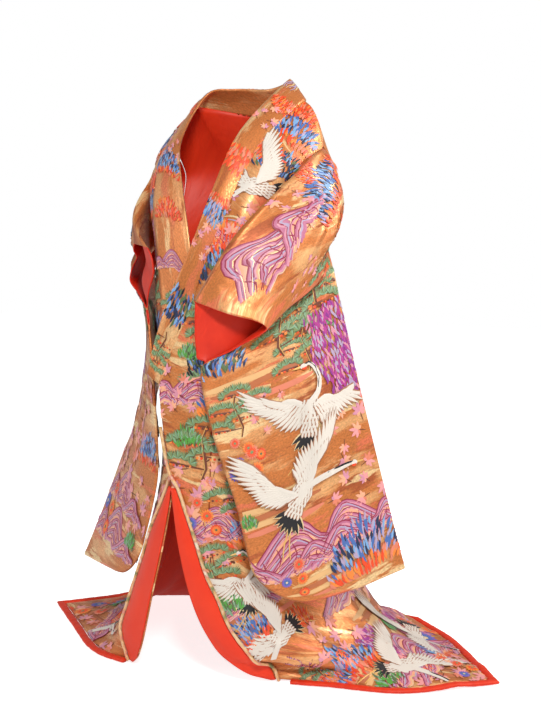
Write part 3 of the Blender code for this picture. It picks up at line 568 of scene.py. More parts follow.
# ---------------------------------------------------------------- overlap panels
# A tapering panel is sewn between each front and the collar band, so that the fronts can cross.
for side, tag in ((1, "left"), (-1, "right")):
    stand_for("overlap_" + tag,
              make_cloth(f"overlap_{tag}_cloth", [(*overlaps[side], side)], (body_brocade, lining_silk)))

# ---------------------------------------------------------------- turned-back facings and edge rolls
# Below the thigh the vermilion lining of each front edge is turned back over the brocade. A thin roll of
# brocade finishes the edge and then the turned-back strip.
FACING_WALL, FACING_LIFT, FACING_PUFF = 0.0022, 0.0042, 0.004
EDGE_R, UPPER_GAP, LOWER_GAP, RIDE = 0.0038, 0.0030, 0.0034, 0.0012     # roll's radius, gaps to edge and cloth
# Share of the overlap panel's width that is turned back, by station.
TURN_L = [(6.25, 0.12), (6.6, 0.32), (7.0, 0.54), (8.0, 0.78), (9.0, 0.78), (10.0, 0.40), (10.9, 0.12)]
TURN_R = [(6.25, 0.18), (6.6, 0.46), (7.0, 0.70), (8.0, 0.80), (9.0, 0.72), (10.0, 0.32), (10.9, 0.06)]


def on_grid(grid, stations, s, t):
    """Points on a grid's flat facets: s in its stations, t (one list per s) in columns."""
    k = np.interp(s, stations, np.arange(len(stations)))
    i = np.minimum(k.astype(int), len(stations) - 2)
    f = (k - i)[:, None, None]
    rows = grid[i] * (1 - f) + grid[i + 1] * f
    j = np.clip(t.astype(int), 0, grid.shape[1] - 2)
    g = (t - j)[..., None]
    r = np.arange(len(rows))[:, None]
    return rows[r, j] * (1 - g) + rows[r, j + 1] * g


facing_silk = silk("facing_silk", (0.88, 0.050, 0.010), (0.74, 0.030, 0.007), 9.0, 14.0)


def right_out(work):
    bmesh.ops.recalc_face_normals(work, faces=work.faces)


def tube(name, rings, slots, girth, length):
    """A closed tube through rings of points; girth gives the place round it, length the place along it."""
    count, sides = rings.shape[:2]
    index = np.arange(count * sides).reshape(count, sides)
    i, j = np.divmod(np.arange((count - 1) * sides), sides)
    ring, turn = np.stack([i, i, i + 1, i + 1], 1), np.stack([j, j + 1, j + 1, j], 1)
    ends = np.stack([index[0][::-1], index[-1]])
    quads = index[ring, turn % sides]
    ring, turn = (np.concatenate([a.ravel(), b.ravel()])
                  for a, b in ((ring, ends // sides), (turn, ends % sides)))
    uv = np.stack([girth(turn), length[ring]], -1)
    return put(name, rings.reshape(-1, 3), quads.tolist() + ends.tolist(), slots, uv, right_out)


def ovals(path, wide, high, sides):
    """A ring of points round each point of a path, wide and high being its half axes."""
    turn = np.linspace(0, 2 * np.pi, sides, endpoint=False)[:, None]
    return path[:, None] + wide[:, None] * np.cos(turn) + high[:, None] * np.sin(turn)


def rolled(name, path, radius, ups, slots, sides=12):
    """A padded roll along a path with a radius at each point; ups are where its top looks."""
    ahead = unit(np.gradient(path, axis=0))
    side_ways = unit(np.cross(ahead, ups))
    tops = np.cross(side_ways, ahead)
    rings = ovals(path, side_ways * radius[:, None], tops * radius[:, None], sides)
    return tube(name, rings, slots, lambda k: k / sides * 0.03, length_along(path))


def roll_brocade():
    """Brocade folded tight over a roll: short bands of gold, cream, rose and green along it."""
    made, tree, shader = new_material("roll_brocade", 0.5, metallic=0.2, sheen_weight=0.2)
    patches = cloth_noise(tree, (30, 34), 1.0, rotation=0.5)
    colours = add_node(tree, "ValToRGB", {"Fac": patches})
    stops = [(0.30, (0.22, 0.25, 0.10)), (0.41, (0.70, 0.40, 0.16)), (0.50, (0.80, 0.55, 0.32)),
             (0.58, (0.74, 0.42, 0.18)), (0.66, (0.72, 0.26, 0.20)), (0.74, (0.84, 0.70, 0.52))]
    for k, (at, rgb) in enumerate(stops):
        stop = colours.color_ramp.elements[k] if k < 2 else colours.color_ramp.elements.new(at)
        stop.position, stop.color = at, (*rgb, 1)
    emboss(tree, shader, patches, 0.3, 0.002)
    tree.links.new(colours.outputs[0], shader.inputs["Base Color"])
    return made


roll_cloth = roll_brocade()
FACING_ROWS = np.array([6.25, 6.6, 7, 7.5, 8, 8.5, 9, 9.33, 9.67, 10, 10.33, 10.67, 10.9])
for side, tag, turned in ((1, "left", TURN_L), (-1, "right", TURN_R)):
    over = fronts[side][:, :N_OVER + 1]
    share = np.linspace(0, 1, 5)
    base = on_grid(over, S_ROWS, FACING_ROWS, lerp_at(turned, FACING_ROWS)[:, None] * share[None, :] * N_OVER)
    n = normals(base, side)
    puff = np.sin(np.pi * share)[None, :] * np.minimum(1, lerp_at(turned, FACING_ROWS)[:, None] / 0.4)
    face = finer(base + n * (FACING_LIFT + FACING_PUFF * puff)[..., None])
    stand_for("facing_" + tag,
              make_cloth(f"facing_{tag}_silk", [(face, cloth_places(face), side)], (facing_silk,),
                         FACING_WALL))
    upper = (S_ROWS > 5) & (S_ROWS < 6.1)
    edge, inner = over[upper, 0], over[upper, 1]
    tilt = np.radians([10, 90])[:, None]
    up = normals(over, side)[upper, 0]
    first = edge + up * (WALL / 2) * np.sin(tilt) \
        + (unit(edge - inner) * np.cos(tilt) + up * np.sin(tilt)) * (EDGE_R + UPPER_GAP)
    second = base[:, -1] + unit(base[:, -1] - base[:, -2]) * (EDGE_R + LOWER_GAP) \
        + n[:, -1] * (EDGE_R + WALL / 2 + RIDE)
    path, ups = np.concatenate([first, second]), np.concatenate([up, n[:, -1]])
    steps = np.linspace(0, len(path) - 1, (len(path) - 1) * 8 + 1)
    puckers = EDGE_R * (1 + 0.06 * np.sin(steps * 5.1) + 0.05 * np.sin(steps * 11.7 + side))
    stand_for("edge_roll_" + tag, rolled(f"edge_roll_{tag}_brocade", chain(path, steps), puckers,
                                                 chain(ups, steps), (roll_cloth,)))

# ---------------------------------------------------------------- collar band
# One long band of the same brocade, folded double along its length and sewn to the fronts and the neck.
# Its stations run 0..5 up the left front, 5..9 round the neck and 9..14 down the right front.
COLLAR_WALL, COLLAR_PUFF = 0.004, 0.004
ALLOWANCE = 0.003       # tucked in between brocade and lining at the seam
# Free edge of the folded band.
COLLAR_EDGE = in_mm([
    [-33, -264, 681], [-1, -247, 812], [50, -214, 957], [80, -170, 1087], [91, -80, 1222], [103, 80, 1340],
    [76, 128, 1347], [0, 158, 1338], [-76, 128, 1340], [-119, 70, 1325], [-86, -70, 1210],
    [-30, -143, 1120], [30, -192, 990], [62, -200, 820], [104, -205, 680],
])
collar_brocade = brocade("collar_brocade", 0.7)
upto = S_ROWS <= 5
sewn = np.concatenate([fronts[1][upto][::-1, 0], neck_line[1][1:], neck_line[-1][::-1][1:-1],
                       fronts[-1][upto, 0]])
station = np.concatenate([np.linspace(0, 5, upto.sum()), 5 + 4 * np.arange(1, 2 * N_NECK) / (2 * N_NECK),
                          np.linspace(9, 14, upto.sum())])
free = chain(COLLAR_EDGE, station)
sewn = sewn - unit(free - sewn) * ALLOWANCE
across = np.linspace(0, 1, 5)
band = sewn[:, None] * (1 - across)[None, :, None] + free[:, None] * across[None, :, None]
band = finer(band + normals(band) * (COLLAR_PUFF * np.sin(np.pi * across))[None, :, None], 3)
places = cloth_places(band)[..., ::-1] * np.array([-1, 1])
stand_for("collar", make_cloth("collar_cloth", [(band, places, 1)], (collar_brocade,), COLLAR_WALL))
grounds["collar"] = dict(points=band, places=cloth_places(band), outward=1, skin=COLLAR_WALL / 2, level=True)

# ---------------------------------------------------------------- sleeves
# Each sleeve is a flat bag folded along the arm: open to the body, at the cuff and down its back edge, and
# sewn along the foot and the front below the cuff. It is lined in vermilion.
# Left sleeve, outer sheet: columns armhole side (w0) to cuff side (w3); rows arm fold down to the bottom.
SLEEVE_L_OUT = in_mm([
    [218, 68, 1193,  232, -55, 1128,  169, -196, 992,  97, -256, 845],
    [231, 116, 1135,  275, 20, 1060,  250, -130, 930,  175, -250, 822],
    [268, 30, 940,  278, -60, 888,  262, -132, 840,  245, -199, 792],   # crease
    [284, 12, 900,  256, -68, 850,  212, -150, 795,  165, -228, 738],
    [315, 10, 785,  266, -86, 745,  196, -192, 708,  120, -263, 687],
    [352, 12, 650,  300, -90, 600,  228, -188, 565,  152, -257, 548],
    [395, 15, 500,  340, -84, 450,  272, -172, 422,  200, -244, 408],
    [435, 18, 360,  377, -75, 312,  308, -160, 285,  226, -230, 280],
    [469, 20, 249,  409, -68, 219,  335, -150, 194,  250, -214, 190],
], 4, 3)
# Inner sheet from under the arm fold to the end of the cuff opening; below it follows the outer sheet at
# SLEEVE_GAP.
SLEEVE_L_IN = in_mm([
    [226, 8, 1120,  220, -70, 1080,  164, -200, 930,  98, -259, 800],
    [246, -14, 960,  230, -104, 945,  173, -196, 870,  101, -262, 765],
    [260, -14, 900,  236, -94, 860,  176, -194, 800,  108, -263, 722],
], 4, 3)
# Right sleeve: the forearm is raised further and the hanging part swings out less.
SLEEVE_R_OUT = in_mm([
    [-218, 68, 1193,  -218, -22, 1122,  -200, -108, 1044,  -168, -146, 966],
    [-228, 114, 1135,  -256, 50, 1048,  -246, -25, 975,  -220, -85, 925],
    [-246, 40, 940,  -262, 5, 915,  -252, -48, 895,  -226, -96, 878],
    [-254, 22, 870,  -238, -34, 860,  -198, -92, 850,  -138, -155, 838],
    [-230, 10, 760,  -196, -66, 758,  -140, -134, 765,  -90, -190, 780],
    [-235, -26, 600,  -194, -90, 600,  -130, -156, 600,  -56, -212, 600],
    [-298, -45, 440,  -232, -106, 440,  -142, -172, 440,  -42, -222, 440],
    [-350, -62, 298,  -270, -120, 298,  -176, -180, 300,  -68, -236, 304],
    [-402, -80, 170,  -308, -134, 178,  -202, -194, 188,  -90, -244, 194],
], 4, 3)
SLEEVE_R_IN = in_mm([
    [-232, 8, 1120,  -206, -60, 1050,  -160, -140, 990,  -92, -190, 955],
    [-242, -8, 960,  -212, -50, 945,  -150, -128, 925,  -72, -196, 905],
    [-236, -6, 900,  -212, -52, 888,  -165, -125, 870,  -98, -186, 845],
], 4, 3)
FOLDS_SLEEVE_L = in_mm([
    [275, 20, 1060, 215, -200, 880, 10, 16], [262, 0, 1000, 235, -170, 860, -6, 16],
    [262, -80, 740, 330, -90, 480, 8, 30],
])
FOLDS_SLEEVE_R = in_mm([
    [-230, -60, 1060, -170, -150, 930, 10, 18], [-262, 30, 1010, -190, -140, 920, -8, 16],
])
SLEEVE_GAP = [0.022, 0.020, 0.016, 0.0]       # between the two sheets, armhole side to the sewn edge
V_ROWS = np.array([0, 0.4, 0.8, 1.2, 1.6, 2.0, 2.3, 2.65, 3.0, 3.5, 4, 4.5, 5, 5.5, 6, 6.5, 7, 7.25, 7.5, 7.7,
                   7.86, 7.96, 8])
N_WIDE, CUFF_END, ARMHOLE_ROWS = 12, 3.5, 6
NEARBY, MAX_PUSH = 0.06, 0.02       # how far off a surface still pushes, and how far at a time
ROUNDING = 0.32                     # share of the width rounded off at the sleeve's lower corner
FOLD_CLEAR, FOLD_STEP = 0.009, 0.0042       # more room for the arm fold over the body and past its edge


def keep_off(grid, other, sign, gap):
    """Moves points so they stay at least gap outside another grid's surface."""
    pts, nor, flat = other.reshape(-1, 3), normals(other, sign).reshape(-1, 3), grid.reshape(-1, 3).copy()
    inside = np.zeros(other.shape[:2], bool)
    inside[1:-1, 1:-1] = True
    inside = inside.ravel()
    for _ in range(3):
        d = np.linalg.norm(flat[:, None] - pts[None], axis=-1)
        k = d.argmin(1)
        short = gap - ((flat - pts[k]) * nor[k]).sum(1)
        push = np.where(inside[k] & (d.min(1) < NEARBY) & (short > 0), np.minimum(short, MAX_PUSH), 0)
        flat += nor[k] * push[:, None]
    return flat.reshape(grid.shape)


def armhole_step(edge, inner, onward):
    """Step outward from the body's edge that clears a sleeve wall set at an angle or folding back."""
    out = unit(edge - inner)
    cos = (out * unit(onward)).sum(-1, keepdims=True)
    sin = np.sqrt(np.clip(1 - cos ** 2, 0.1, 1))
    back = np.clip(-cos, 0, 1)
    return out * (SEAM + 0.0010 + WALL / 2 * sin + WALL / 2 * (1 + back) * back / sin)


def meet(a, b, *where):
    """Brings two grids together halfway in each of the named rows or columns."""
    for at in where:
        a[at] = b[at] = (a[at] + b[at]) / 2


def sleeve_sheets(out_table, in_table, folds, side, off, off_out):
    """The outer and the inner sheet of a sleeve, kept off the body and stepped round its armhole edge."""
    drop = np.clip(V_ROWS - 7, 0, 1)
    reach = 1 - ROUNDING * (1 - np.sqrt(1 - drop ** 2))
    w = np.linspace(0, 3, N_WIDE + 1)[None, :] * reach[:, None]
    outer = patch(out_table, V_ROWS, w)
    lower = out_table[4:]
    along = unit((lower[:, 0] - lower[:, 3]) * np.array([1, 1, 0]))
    inward = np.stack([-along[:, 1], along[:, 0], 0 * along[:, 0]], -1) * side
    lower = lower + inward[:, None] * np.array(SLEEVE_GAP)[None, :, None]
    inner = patch(np.concatenate([out_table[:1], in_table, lower]), V_ROWS, w)
    outer = folded(outer, folds, -side)
    whole, back = fronts[side], backs[side]
    near = patch(FRONT_L if side > 0 else FRONT_R, np.linspace(0, 9, 46), np.linspace(0, 3, 31))
    inner[:1, 1:] = keep_off(inner[:1, 1:], near, side, off + FOLD_CLEAR)
    inner[1:ARMHOLE_ROWS, 1:] = keep_off(inner[1:ARMHOLE_ROWS, 1:], near, side, off)
    outer[0] = inner[0]
    inner[ARMHOLE_ROWS:] = keep_off(inner[ARMHOLE_ROWS:], near, side, off)
    outer[1:ARMHOLE_ROWS, 1:] = keep_off(outer[1:ARMHOLE_ROWS, 1:], near, side, off_out)
    meet(outer, inner, 0, -1, (V_ROWS >= CUFF_END, -1))
    # armhole: the first rows take the body's armhole edges
    k = ARMHOLE_ROWS
    for grid, edge, inside, sign in ((outer, back[:k, 0], back[:k, 1], -1),
                                     (inner, whole[:k, -1], whole[:k, -2], 1)):
        n = normals(grid, side * sign)[:k, 0]
        target = edge + armhole_step(edge, inside, grid[:k, 1] - edge)
        shift = target - grid[:k, 0] - n * WALL / 2
        shift[0] = (target - grid[:k, 0] + unit(edge - inside) * FOLD_STEP)[0]
        for col, share in ((0, 1.0), (1, 0.35), (2, 0.1)):
            grid[:k, col] += shift * share
    # the inner sheet turns back over the front panel in a rounded fold
    lead = unit(whole[1:k, -1] - whole[1:k, -2])
    clear = SEAM + WALL + np.array([0.0028, 0.0024, 0.0014, 0.0016, 0.0028])[:, None]
    inner[1:k, 0] = whole[1:k, -1] + lead * clear
    rise = np.array([0.0035, 0.010, 0.012, 0.014, 0.014])[:, None]
    inner[1:k, 1] = inner[1:k, 0] + normals(whole, side)[1:k, -1] * rise + lead * 0.003
    meet(outer, inner, 0)
    return outer, inner


CREASES_SLEEVE_L = in_mm([
    [262, -20, 1085, 215, -120, 985, 140, -225, 870, 21, 11],
    [272, -10, 1050, 240, -110, 945, 175, -220, 850, -14, 10],
    [275, -30, 1000, 252, -110, 905, 205, -205, 835, 18, 10],
    [276, -20, 960, 262, -90, 880, 236, -170, 815, -13, 10],
    [236, 70, 1165, 246, 30, 1120, 232, -30, 1070, 13, 10],
    [240, 50, 1130, 256, 0, 1075, 248, -60, 1020, -14, 10],
    [252, 80, 1100, 272, 20, 1020, 274, -40, 940, 16, 12],
    [270, 40, 1010, 280, 0, 950, 276, -50, 900, -12, 10],
    [225, -50, 1130, 190, -140, 1030, 130, -220, 910, -13, 10],
    [268, -50, 860, 250, -110, 820, 225, -180, 780, -13, 12],
    [290, -20, 860, 270, -80, 800, 235, -140, 770, 13, 12],
    [250, -100, 760, 290, -105, 600, 330, -90, 440, 7, 26],
    [200, -190, 690, 225, -190, 540, 270, -175, 420, -6, 24],
    [340, -80, 420, 370, -80, 320, 400, -70, 240, 6, 26],
])
CREASES_SLEEVE_R = in_mm([
    [-235, 10, 1100, -225, -50, 1030, -190, -120, 960, 10, 12],
    [-255, 20, 1050, -245, -40, 980, -215, -95, 930, -9, 12],
    [-258, 0, 1000, -245, -50, 940, -225, -85, 900, 9, 10],
    [-235, -30, 860, -190, -90, 840, -145, -150, 820, -9, 12],
    [-210, -40, 760, -200, -80, 620, -220, -100, 470, 6, 22],
    [-150, -130, 740, -140, -150, 600, -160, -160, 450, -6, 20],
])


def hung(places):
    """Cloth places measured up from the foot of a sleeve, so that its pattern lies level with the foot."""
    return places - places[-1:, :] * np.array([0, 1])


sleeve_brocade = brocade("sleeve_brocade")
sleeve_lining = silk("sleeve_lining", (0.80, 0.036, 0.008), (0.58, 0.016, 0.004))
for side, tag, out_table, in_table, folds, creases, off, off_out in (
        # the last two measures are how far the inner and the outer sheet keep off the body
        (1, "left", SLEEVE_L_OUT, SLEEVE_L_IN, FOLDS_SLEEVE_L, CREASES_SLEEVE_L, 0.0075, 0.0235),
        (-1, "right", SLEEVE_R_OUT, SLEEVE_R_IN, FOLDS_SLEEVE_R, CREASES_SLEEVE_R, 0.0085, 0.0120)):
    outer, inner = sleeve_sheets(out_table, in_table, folds, side, off, off_out)
    # the back edge stays open, and the lined side that faces away stands a little beyond the other
    far, near = (outer, inner) if side < 0 else (inner, outer)
    far[ARMHOLE_ROWS + 1:-1, 0] += unit(far[ARMHOLE_ROWS + 1:-1, 0] - far[ARMHOLE_ROWS + 1:-1, 1]) * 0.007
    outer, inner = finer(outer, 6), finer(inner, 6)
    outer = outer + crease_steps(outer, creases, -side, 5)
    places, behind_it = (hung(cloth_places(g)) for g in (outer, inner))
    stand_for("sleeve_" + tag, make_cloth(
        f"sleeve_{tag}_cloth", [(outer, places, -side), (inner, behind_it, side)],
        (sleeve_brocade, sleeve_lining), offset=1.0, rim=1))
    for kind, grid, place, outward in (("sleeve_", outer, places, -side),
                                       ("sleeve_inner_", inner, behind_it, side)):
        grounds[kind + tag] = dict(points=grid, places=place, outward=outward, skin=WALL, level=True)

# ---------------------------------------------------------------- padded hem roll
# The lining is rolled out round the hem over wadding and quilted down at even steps.
HEM_W, HEM_H, HEM_FINER = 0.020, 0.011, 10
HEM_GAP, HEM_REST = 0.0012, 0.0008      # from the brocade's edge, and over the floor
TIE_STEP = 0.034                        # from one quilting tie to the next
hem_silk = silk("hem_silk", (0.86, 0.052, 0.010), (0.58, 0.018, 0.005), 60.0, 60.0)
line, above = (np.concatenate([hem_line[1][k], hem_line[-1][k][::-1][1:]]) for k in (0, 1))
keep = np.concatenate([[True], np.linalg.norm(np.diff(line, axis=0), axis=-1) > 0.004])
line, above = line[keep], above[keep]
rise = np.abs(unit(above - line)[:, 2])
seg = unit(np.diff(line * np.array([1, 1, 0]), axis=0))
out = np.stack([seg[:, 1], -seg[:, 0], 0 * seg[:, 0]], -1)
before, after = np.concatenate([out[:1], out]), np.concatenate([out, out[-1:]])
mitre = unit(before + after)
stretch = 1 / np.maximum((mitre * after).sum(-1), 0.5)
path = line + mitre * (stretch * (HEM_W / 2 + SEAM + HEM_GAP + WALL / 2 * rise))[:, None]
path[:, 2] = np.maximum(line[:, 2], HEM_H / 2 + HEM_REST)
steps = np.linspace(0, len(path) - 1, (len(path) - 1) * HEM_FINER + 1)
mesh_path, wide = (np.stack([np.interp(steps, np.arange(len(path)), v) for v in given.T], -1)
                   for given in (path, mitre * stretch[:, None]))
length = length_along(mesh_path)
tied = np.exp(-((length % TIE_STEP - TIE_STEP / 2) / 0.003) ** 2)
plump = (1 - 0.09 * tied + 0.03 * np.sin(length * 61))[:, None]
rings = ovals(mesh_path, wide * (HEM_W / 2 * plump), np.array([0, 0, 1]) * (HEM_H / 2 * plump), 16)
stand_for("hem_roll",
          tube("hem_roll_silk", rings, (hem_silk,), lambda k: np.abs(k - 8) / 8 * 0.025, length))

# ---------------------------------------------------------------- embroidery
# Cranes, pines, hills, maples and chrysanthemums in thick satin stitch of silk thread, worked on the made
# robe. Each stitch is a raised tapering ribbon laid on the cloth; a motif is a few dozen to a few hundred.
THREADS = {
    "white": (0.73, 0.67, 0.60), "cream": (0.40, 0.19, 0.11), "black": (0.012, 0.011, 0.014),
    "crimson": (0.30, 0.018, 0.060), "mauve": (0.50, 0.15, 0.26), "rose": (0.66, 0.27, 0.36),
    "magenta": (0.42, 0.045, 0.26), "purple": (0.27, 0.035, 0.26), "pink": (0.82, 0.32, 0.32),
    "peach": (0.86, 0.40, 0.24), "salmon": (0.74, 0.22, 0.13), "scarlet": (0.82, 0.07, 0.015),
    "orange": (0.88, 0.24, 0.04), "sage": (0.20, 0.28, 0.12), "moss": (0.10, 0.15, 0.06),
    "leaf": (0.09, 0.34, 0.05), "sky": (0.20, 0.38, 0.66), "blue": (0.07, 0.15, 0.42),
    "navy": (0.018, 0.030, 0.085), "lavender": (0.44, 0.34, 0.50), "violet": (0.20, 0.12, 0.50),
    "gold": (0.78, 0.46, 0.14), "pale_gold": (0.88, 0.66, 0.36), "brown": (0.16, 0.042, 0.020),
    "jade": (0.22, 0.40, 0.24), "haze": (0.78, 0.46, 0.20), "rust": (0.50, 0.15, 0.055),
}
PROFILES = {    # half widths along a stitch, root to tip
    "leaf": (0.10, 0.62, 0.92, 1.0, 0.90, 0.60, 0.06),
    "feather": (0.45, 0.62, 0.78, 0.92, 1.0, 0.80, 0.10),
    "hair": (0.55, 0.90, 1.0, 0.95, 0.80, 0.55, 0.12),
    "line": (0.55, 0.95, 1.0, 1.0, 1.0, 0.95, 0.55),
    "band": (0.35, 0.95, 1.0, 1.0, 1.0, 0.95, 0.35),
    "full": (0.97, 1.0, 1.0, 1.0, 1.0, 1.0, 0.97),
}
LIFT, LEVEL = 0.0005, 0.00022     # height of the lowest stitch over the cloth, and of each layer
SHORT, LONG = 5, 19               # cross sections of a stitch through up to four points, and through more


def embroidery_silk(name, colour):
    """Floss silk with a fine twist; the gold ones are metal thread."""
    made, tree, shader = new_material("thread_" + name, 0.42, colour, sheen_weight=0.10, sheen_roughness=0.3,
                                      metallic=0.35 if "gold" in name else 0.0)
    place = add_node(tree, "TexCoord")
    twist = add_node(tree, "TexNoise", {"Vector": place.outputs["Object"], "Scale": 900.0, "Detail": 1.0})
    emboss(tree, shader, twist.outputs["Fac"], 0.35, 0.0005)
    return made


silks = {name: embroidery_silk(name, colour) for name, colour in THREADS.items()}
NAMES = list(THREADS)


class Needle:
    """Gathers one ground's stitches: each motif is drawn about its own middle, in metres, x right and y up."""

    def __init__(self, seed):
        self.rng = np.random.default_rng(seed)
        self.rows = {SHORT: [], LONG: []}     # stitches by their number of cross sections
        self.shift = (0.0, 0.0)

    def start(self, at, size, turn, flip, base):
        self.at, self.size, self.turn, self.flip, self.base = at, size, math.radians(turn), flip, base

    def stitch(self, colour, points, width, level=1.0, profile="leaf", crown=0.0006):
        points = np.asarray(points, float) + self.shift
        count = LONG if len(points) > 4 else SHORT
        line = chain(points, np.linspace(0, len(points) - 1, count)) * self.size
        line[:, 0] *= self.flip
        c, s = math.cos(self.turn), math.sin(self.turn)
        line = np.stack([line[:, 0] * c - line[:, 1] * s, line[:, 0] * s + line[:, 1] * c], -1)
        half = np.interp(np.linspace(0, 1, count), np.linspace(0, 1, 7), PROFILES[profile])
        half = half * width * self.size / 2
        high = LIFT + LEVEL * (level + self.base)
        self.rows[count].append((NAMES.index(colour), self.at, line, half, high, crown))


def read(field, r, c):
    """A grid's field at fractional rows and columns, with its slopes along both."""
    i = np.clip(r.astype(int), 0, field.shape[0] - 2)
    j = np.clip(c.astype(int), 0, field.shape[1] - 2)
    shape = (-1,) + (1,) * (field.ndim - 2)
    f, g = (r - i).reshape(shape), (c - j).reshape(shape)
    a, b, d, e = field[i, j], field[i, j + 1], field[i + 1, j], field[i + 1, j + 1]
    return (a * (1 - f) * (1 - g) + b * (1 - f) * g + d * f * (1 - g) + e * f * g,
            (d - a) * (1 - g) + (e - b) * g, (b - a) * (1 - f) + (e - d) * f)


SEARCHES, REACHED = 17, 0.002     # looks for a point's place on the cloth, and how near counts as on it
STRIDE, SPAN, TINY = 4, 5, 1e-7   # rows moved at most in a look, rows that tell which way is up, least slope
TORN, SLACK = 2.5, 0.004          # a stitch stretched further than this is left out


def lay_on(ground, facing, anchors, offsets):
    """Rows and columns on the ground of points in metres from their anchors, and which of them lie on it.

    A flat ground is read off along its surface (by its cloth places); a rounded one square to the eye over the
    anchor, so that a motif keeps its shape where the cloth spreads.
    """
    rows, cols = ground["points"].shape[:2]
    r, c = anchors[:, 0] * (rows - 1), anchors[:, 1] * (cols - 1)
    if ground["level"]:
        field = ground["places"]
        target = read(field, r, c)[0] + offsets * np.array([ground["outward"], 1])
    else:
        middle, out = read(ground["points"], r, c)[0], unit(read(facing, r, c)[0])
        above, below = (read(ground["points"], np.clip(r + k, 0, rows - 1), c)[0] for k in (-SPAN, SPAN))
        up = unit((above - below) - out * ((above - below) * out).sum(-1, keepdims=True))
        axes = np.stack([np.cross(up, out), up], 1)
        field, target = ground["points"], offsets
    for step in range(SEARCHES):
        value, along_r, along_c = read(field, r, c)
        if not ground["level"]:
            value = np.einsum("nij,nj->ni", axes, value - middle)
            along_r, along_c = (np.einsum("nij,nj->ni", axes, v) for v in (along_r, along_c))
        miss = target - value
        if step == SEARCHES - 1:
            return r, c, np.linalg.norm(miss, axis=-1) < REACHED
        det = along_r[:, 0] * along_c[:, 1] - along_c[:, 0] * along_r[:, 1]
        det = np.where(np.abs(det) < TINY, TINY, det)
        r = r + np.clip((miss[:, 0] * along_c[:, 1] - miss[:, 1] * along_c[:, 0]) / det, -STRIDE, STRIDE)
        c = c + np.clip((miss[:, 1] * along_r[:, 0] - miss[:, 0] * along_r[:, 1]) / det, -STRIDE, STRIDE)
        r, c = np.clip(r, 0, rows - 1), np.clip(c, 0, cols - 1)


def embroider(name, ground, needle):
    """Makes one piece of all the stitches on a ground."""
    facing = normals(ground["points"], ground["outward"])
    points, faces, colours, first = [], [], [], 0
    for count, rows in needle.rows.items():
        if not rows:
            continue
        paint, at, line, half, lift, crown = (np.array(x) for x in zip(*rows))
        ahead = unit(np.gradient(line, axis=1))
        side_ways = np.stack([-ahead[..., 1], ahead[..., 0]], -1) * half[..., None]
        flat = np.stack([line - side_ways, line, line + side_ways], 2)
        high = np.broadcast_to(lift[:, None, None], flat.shape[:3]).copy()
        high[:, :, 1] += crown[:, None] * half / half.max(1, keepdims=True)
        anchors = np.broadcast_to(at[:, None, None, :], flat.shape)
        r, c, on = lay_on(ground, facing, anchors.reshape(-1, 2), flat.reshape(-1, 2))
        place, out = read(ground["points"], r, c)[0], unit(read(facing, r, c)[0])
        place = place + out * (ground["skin"] + high.ravel())[:, None]
        index = np.arange(len(r)).reshape(flat.shape[:3])
        on = on.reshape(flat.shape[:3])
        reach = np.linalg.norm(np.diff(place.reshape(*flat.shape[:3], 3), axis=1), axis=-1)
        on[:, 1:] &= reach < np.linalg.norm(np.diff(flat, axis=1), axis=-1) * TORN + SLACK
        quads = np.stack([index[:, :-1, :-1], index[:, 1:, :-1], index[:, 1:, 1:], index[:, :-1, 1:]], -1)
        held = on[:, :-1, :-1] & on[:, :-1, 1:] & on[:, 1:, 1:] & on[:, 1:, :-1]
        points.append(place)
        faces.append(quads[held] + first)
        colours.append(np.broadcast_to(paint[:, None, None], held.shape)[held])
        first += len(place)
    points, faces, colours = np.concatenate(points), np.concatenate(faces), np.concatenate(colours)
    used, faces = np.unique(faces, return_inverse=True)
    wanted, colours = np.unique(colours, return_inverse=True)
    made = put(name, points[used], faces.reshape(-1, 4).tolist(), [silks[NAMES[k]] for k in wanted])
    made.data.polygons.foreach_set("material_index", colours.astype(np.int32))
    return made


def around(angle, length, start=(0.0, 0.0)):
    """The point at a length and an angle in degrees from a start."""
    return start[0] + length * math.cos(math.radians(angle)), start[1] + length * math.sin(math.radians(angle))


def feathers(n, wing, reach, count, width, level):
    """A fan of feathers along a wing's arm line, each edged in shade; reach scales their lengths."""
    arm, angles, lengths = wing
    line = chain(arm, np.linspace(0, len(arm) - 1, count))
    for k in range(count - 1, -1, -1):
        share = k / (count - 1)
        swell = 1 + 0.10 * math.sin(3.0 * math.pi * share)
        angle, length = (np.interp(share, (0, 0.5, 1), given) for given in (angles, np.array(lengths) * reach))
        tip, bend = around(angle, length * swell, line[k]), around(angle + 7, length * swell * 0.55, line[k])
        step = level + 0.12 * (count - k)
        n.stitch("cream", [line[k], bend, tip], width * 1.34, step, "feather", 0.0002)
        n.stitch("white", [line[k], bend, tip], width * 0.74, step + 1.0, "feather", 0.0009)


POSES = {   # near wing and far wing as (arm, angles, lengths), neck, tail angle
    "dive": (([(0.010, 0.004), (0.020, 0.030), (0.026, 0.056)], (28, 52, 82), (0.050, 0.082, 0.120)),
             ([(0.000, 0.002), (-0.026, 0.000), (-0.052, 0.008)], (112, 138, 164), (0.050, 0.082, 0.112)),
             [(-0.022, -0.008), (-0.052, -0.026), (-0.082, -0.050), (-0.100, -0.066)], -14),
    "rise": (([(0.006, 0.008), (0.034, 0.020), (0.060, 0.016)], (-62, -30, 14), (0.046, 0.070, 0.098)),
             ([(-0.008, 0.008), (-0.036, 0.024), (-0.062, 0.026)], (-122, -160, -202), (0.048, 0.074, 0.104)),
             [(-0.006, 0.012), (0.018, 0.036), (0.022, 0.066), (0.002, 0.092), (-0.012, 0.090)], -96),
    "glide": (([(0.004, 0.006), (-0.004, 0.034), (-0.020, 0.058)], (60, 88, 118), (0.046, 0.076, 0.116)),
              ([(0.004, -0.006), (0.020, -0.026), (0.030, -0.044)], (-30, -52, -84), (0.040, 0.060, 0.090)),
              [(-0.024, 0.000), (-0.056, -0.006), (-0.090, 0.004), (-0.116, 0.016)], 4),
}


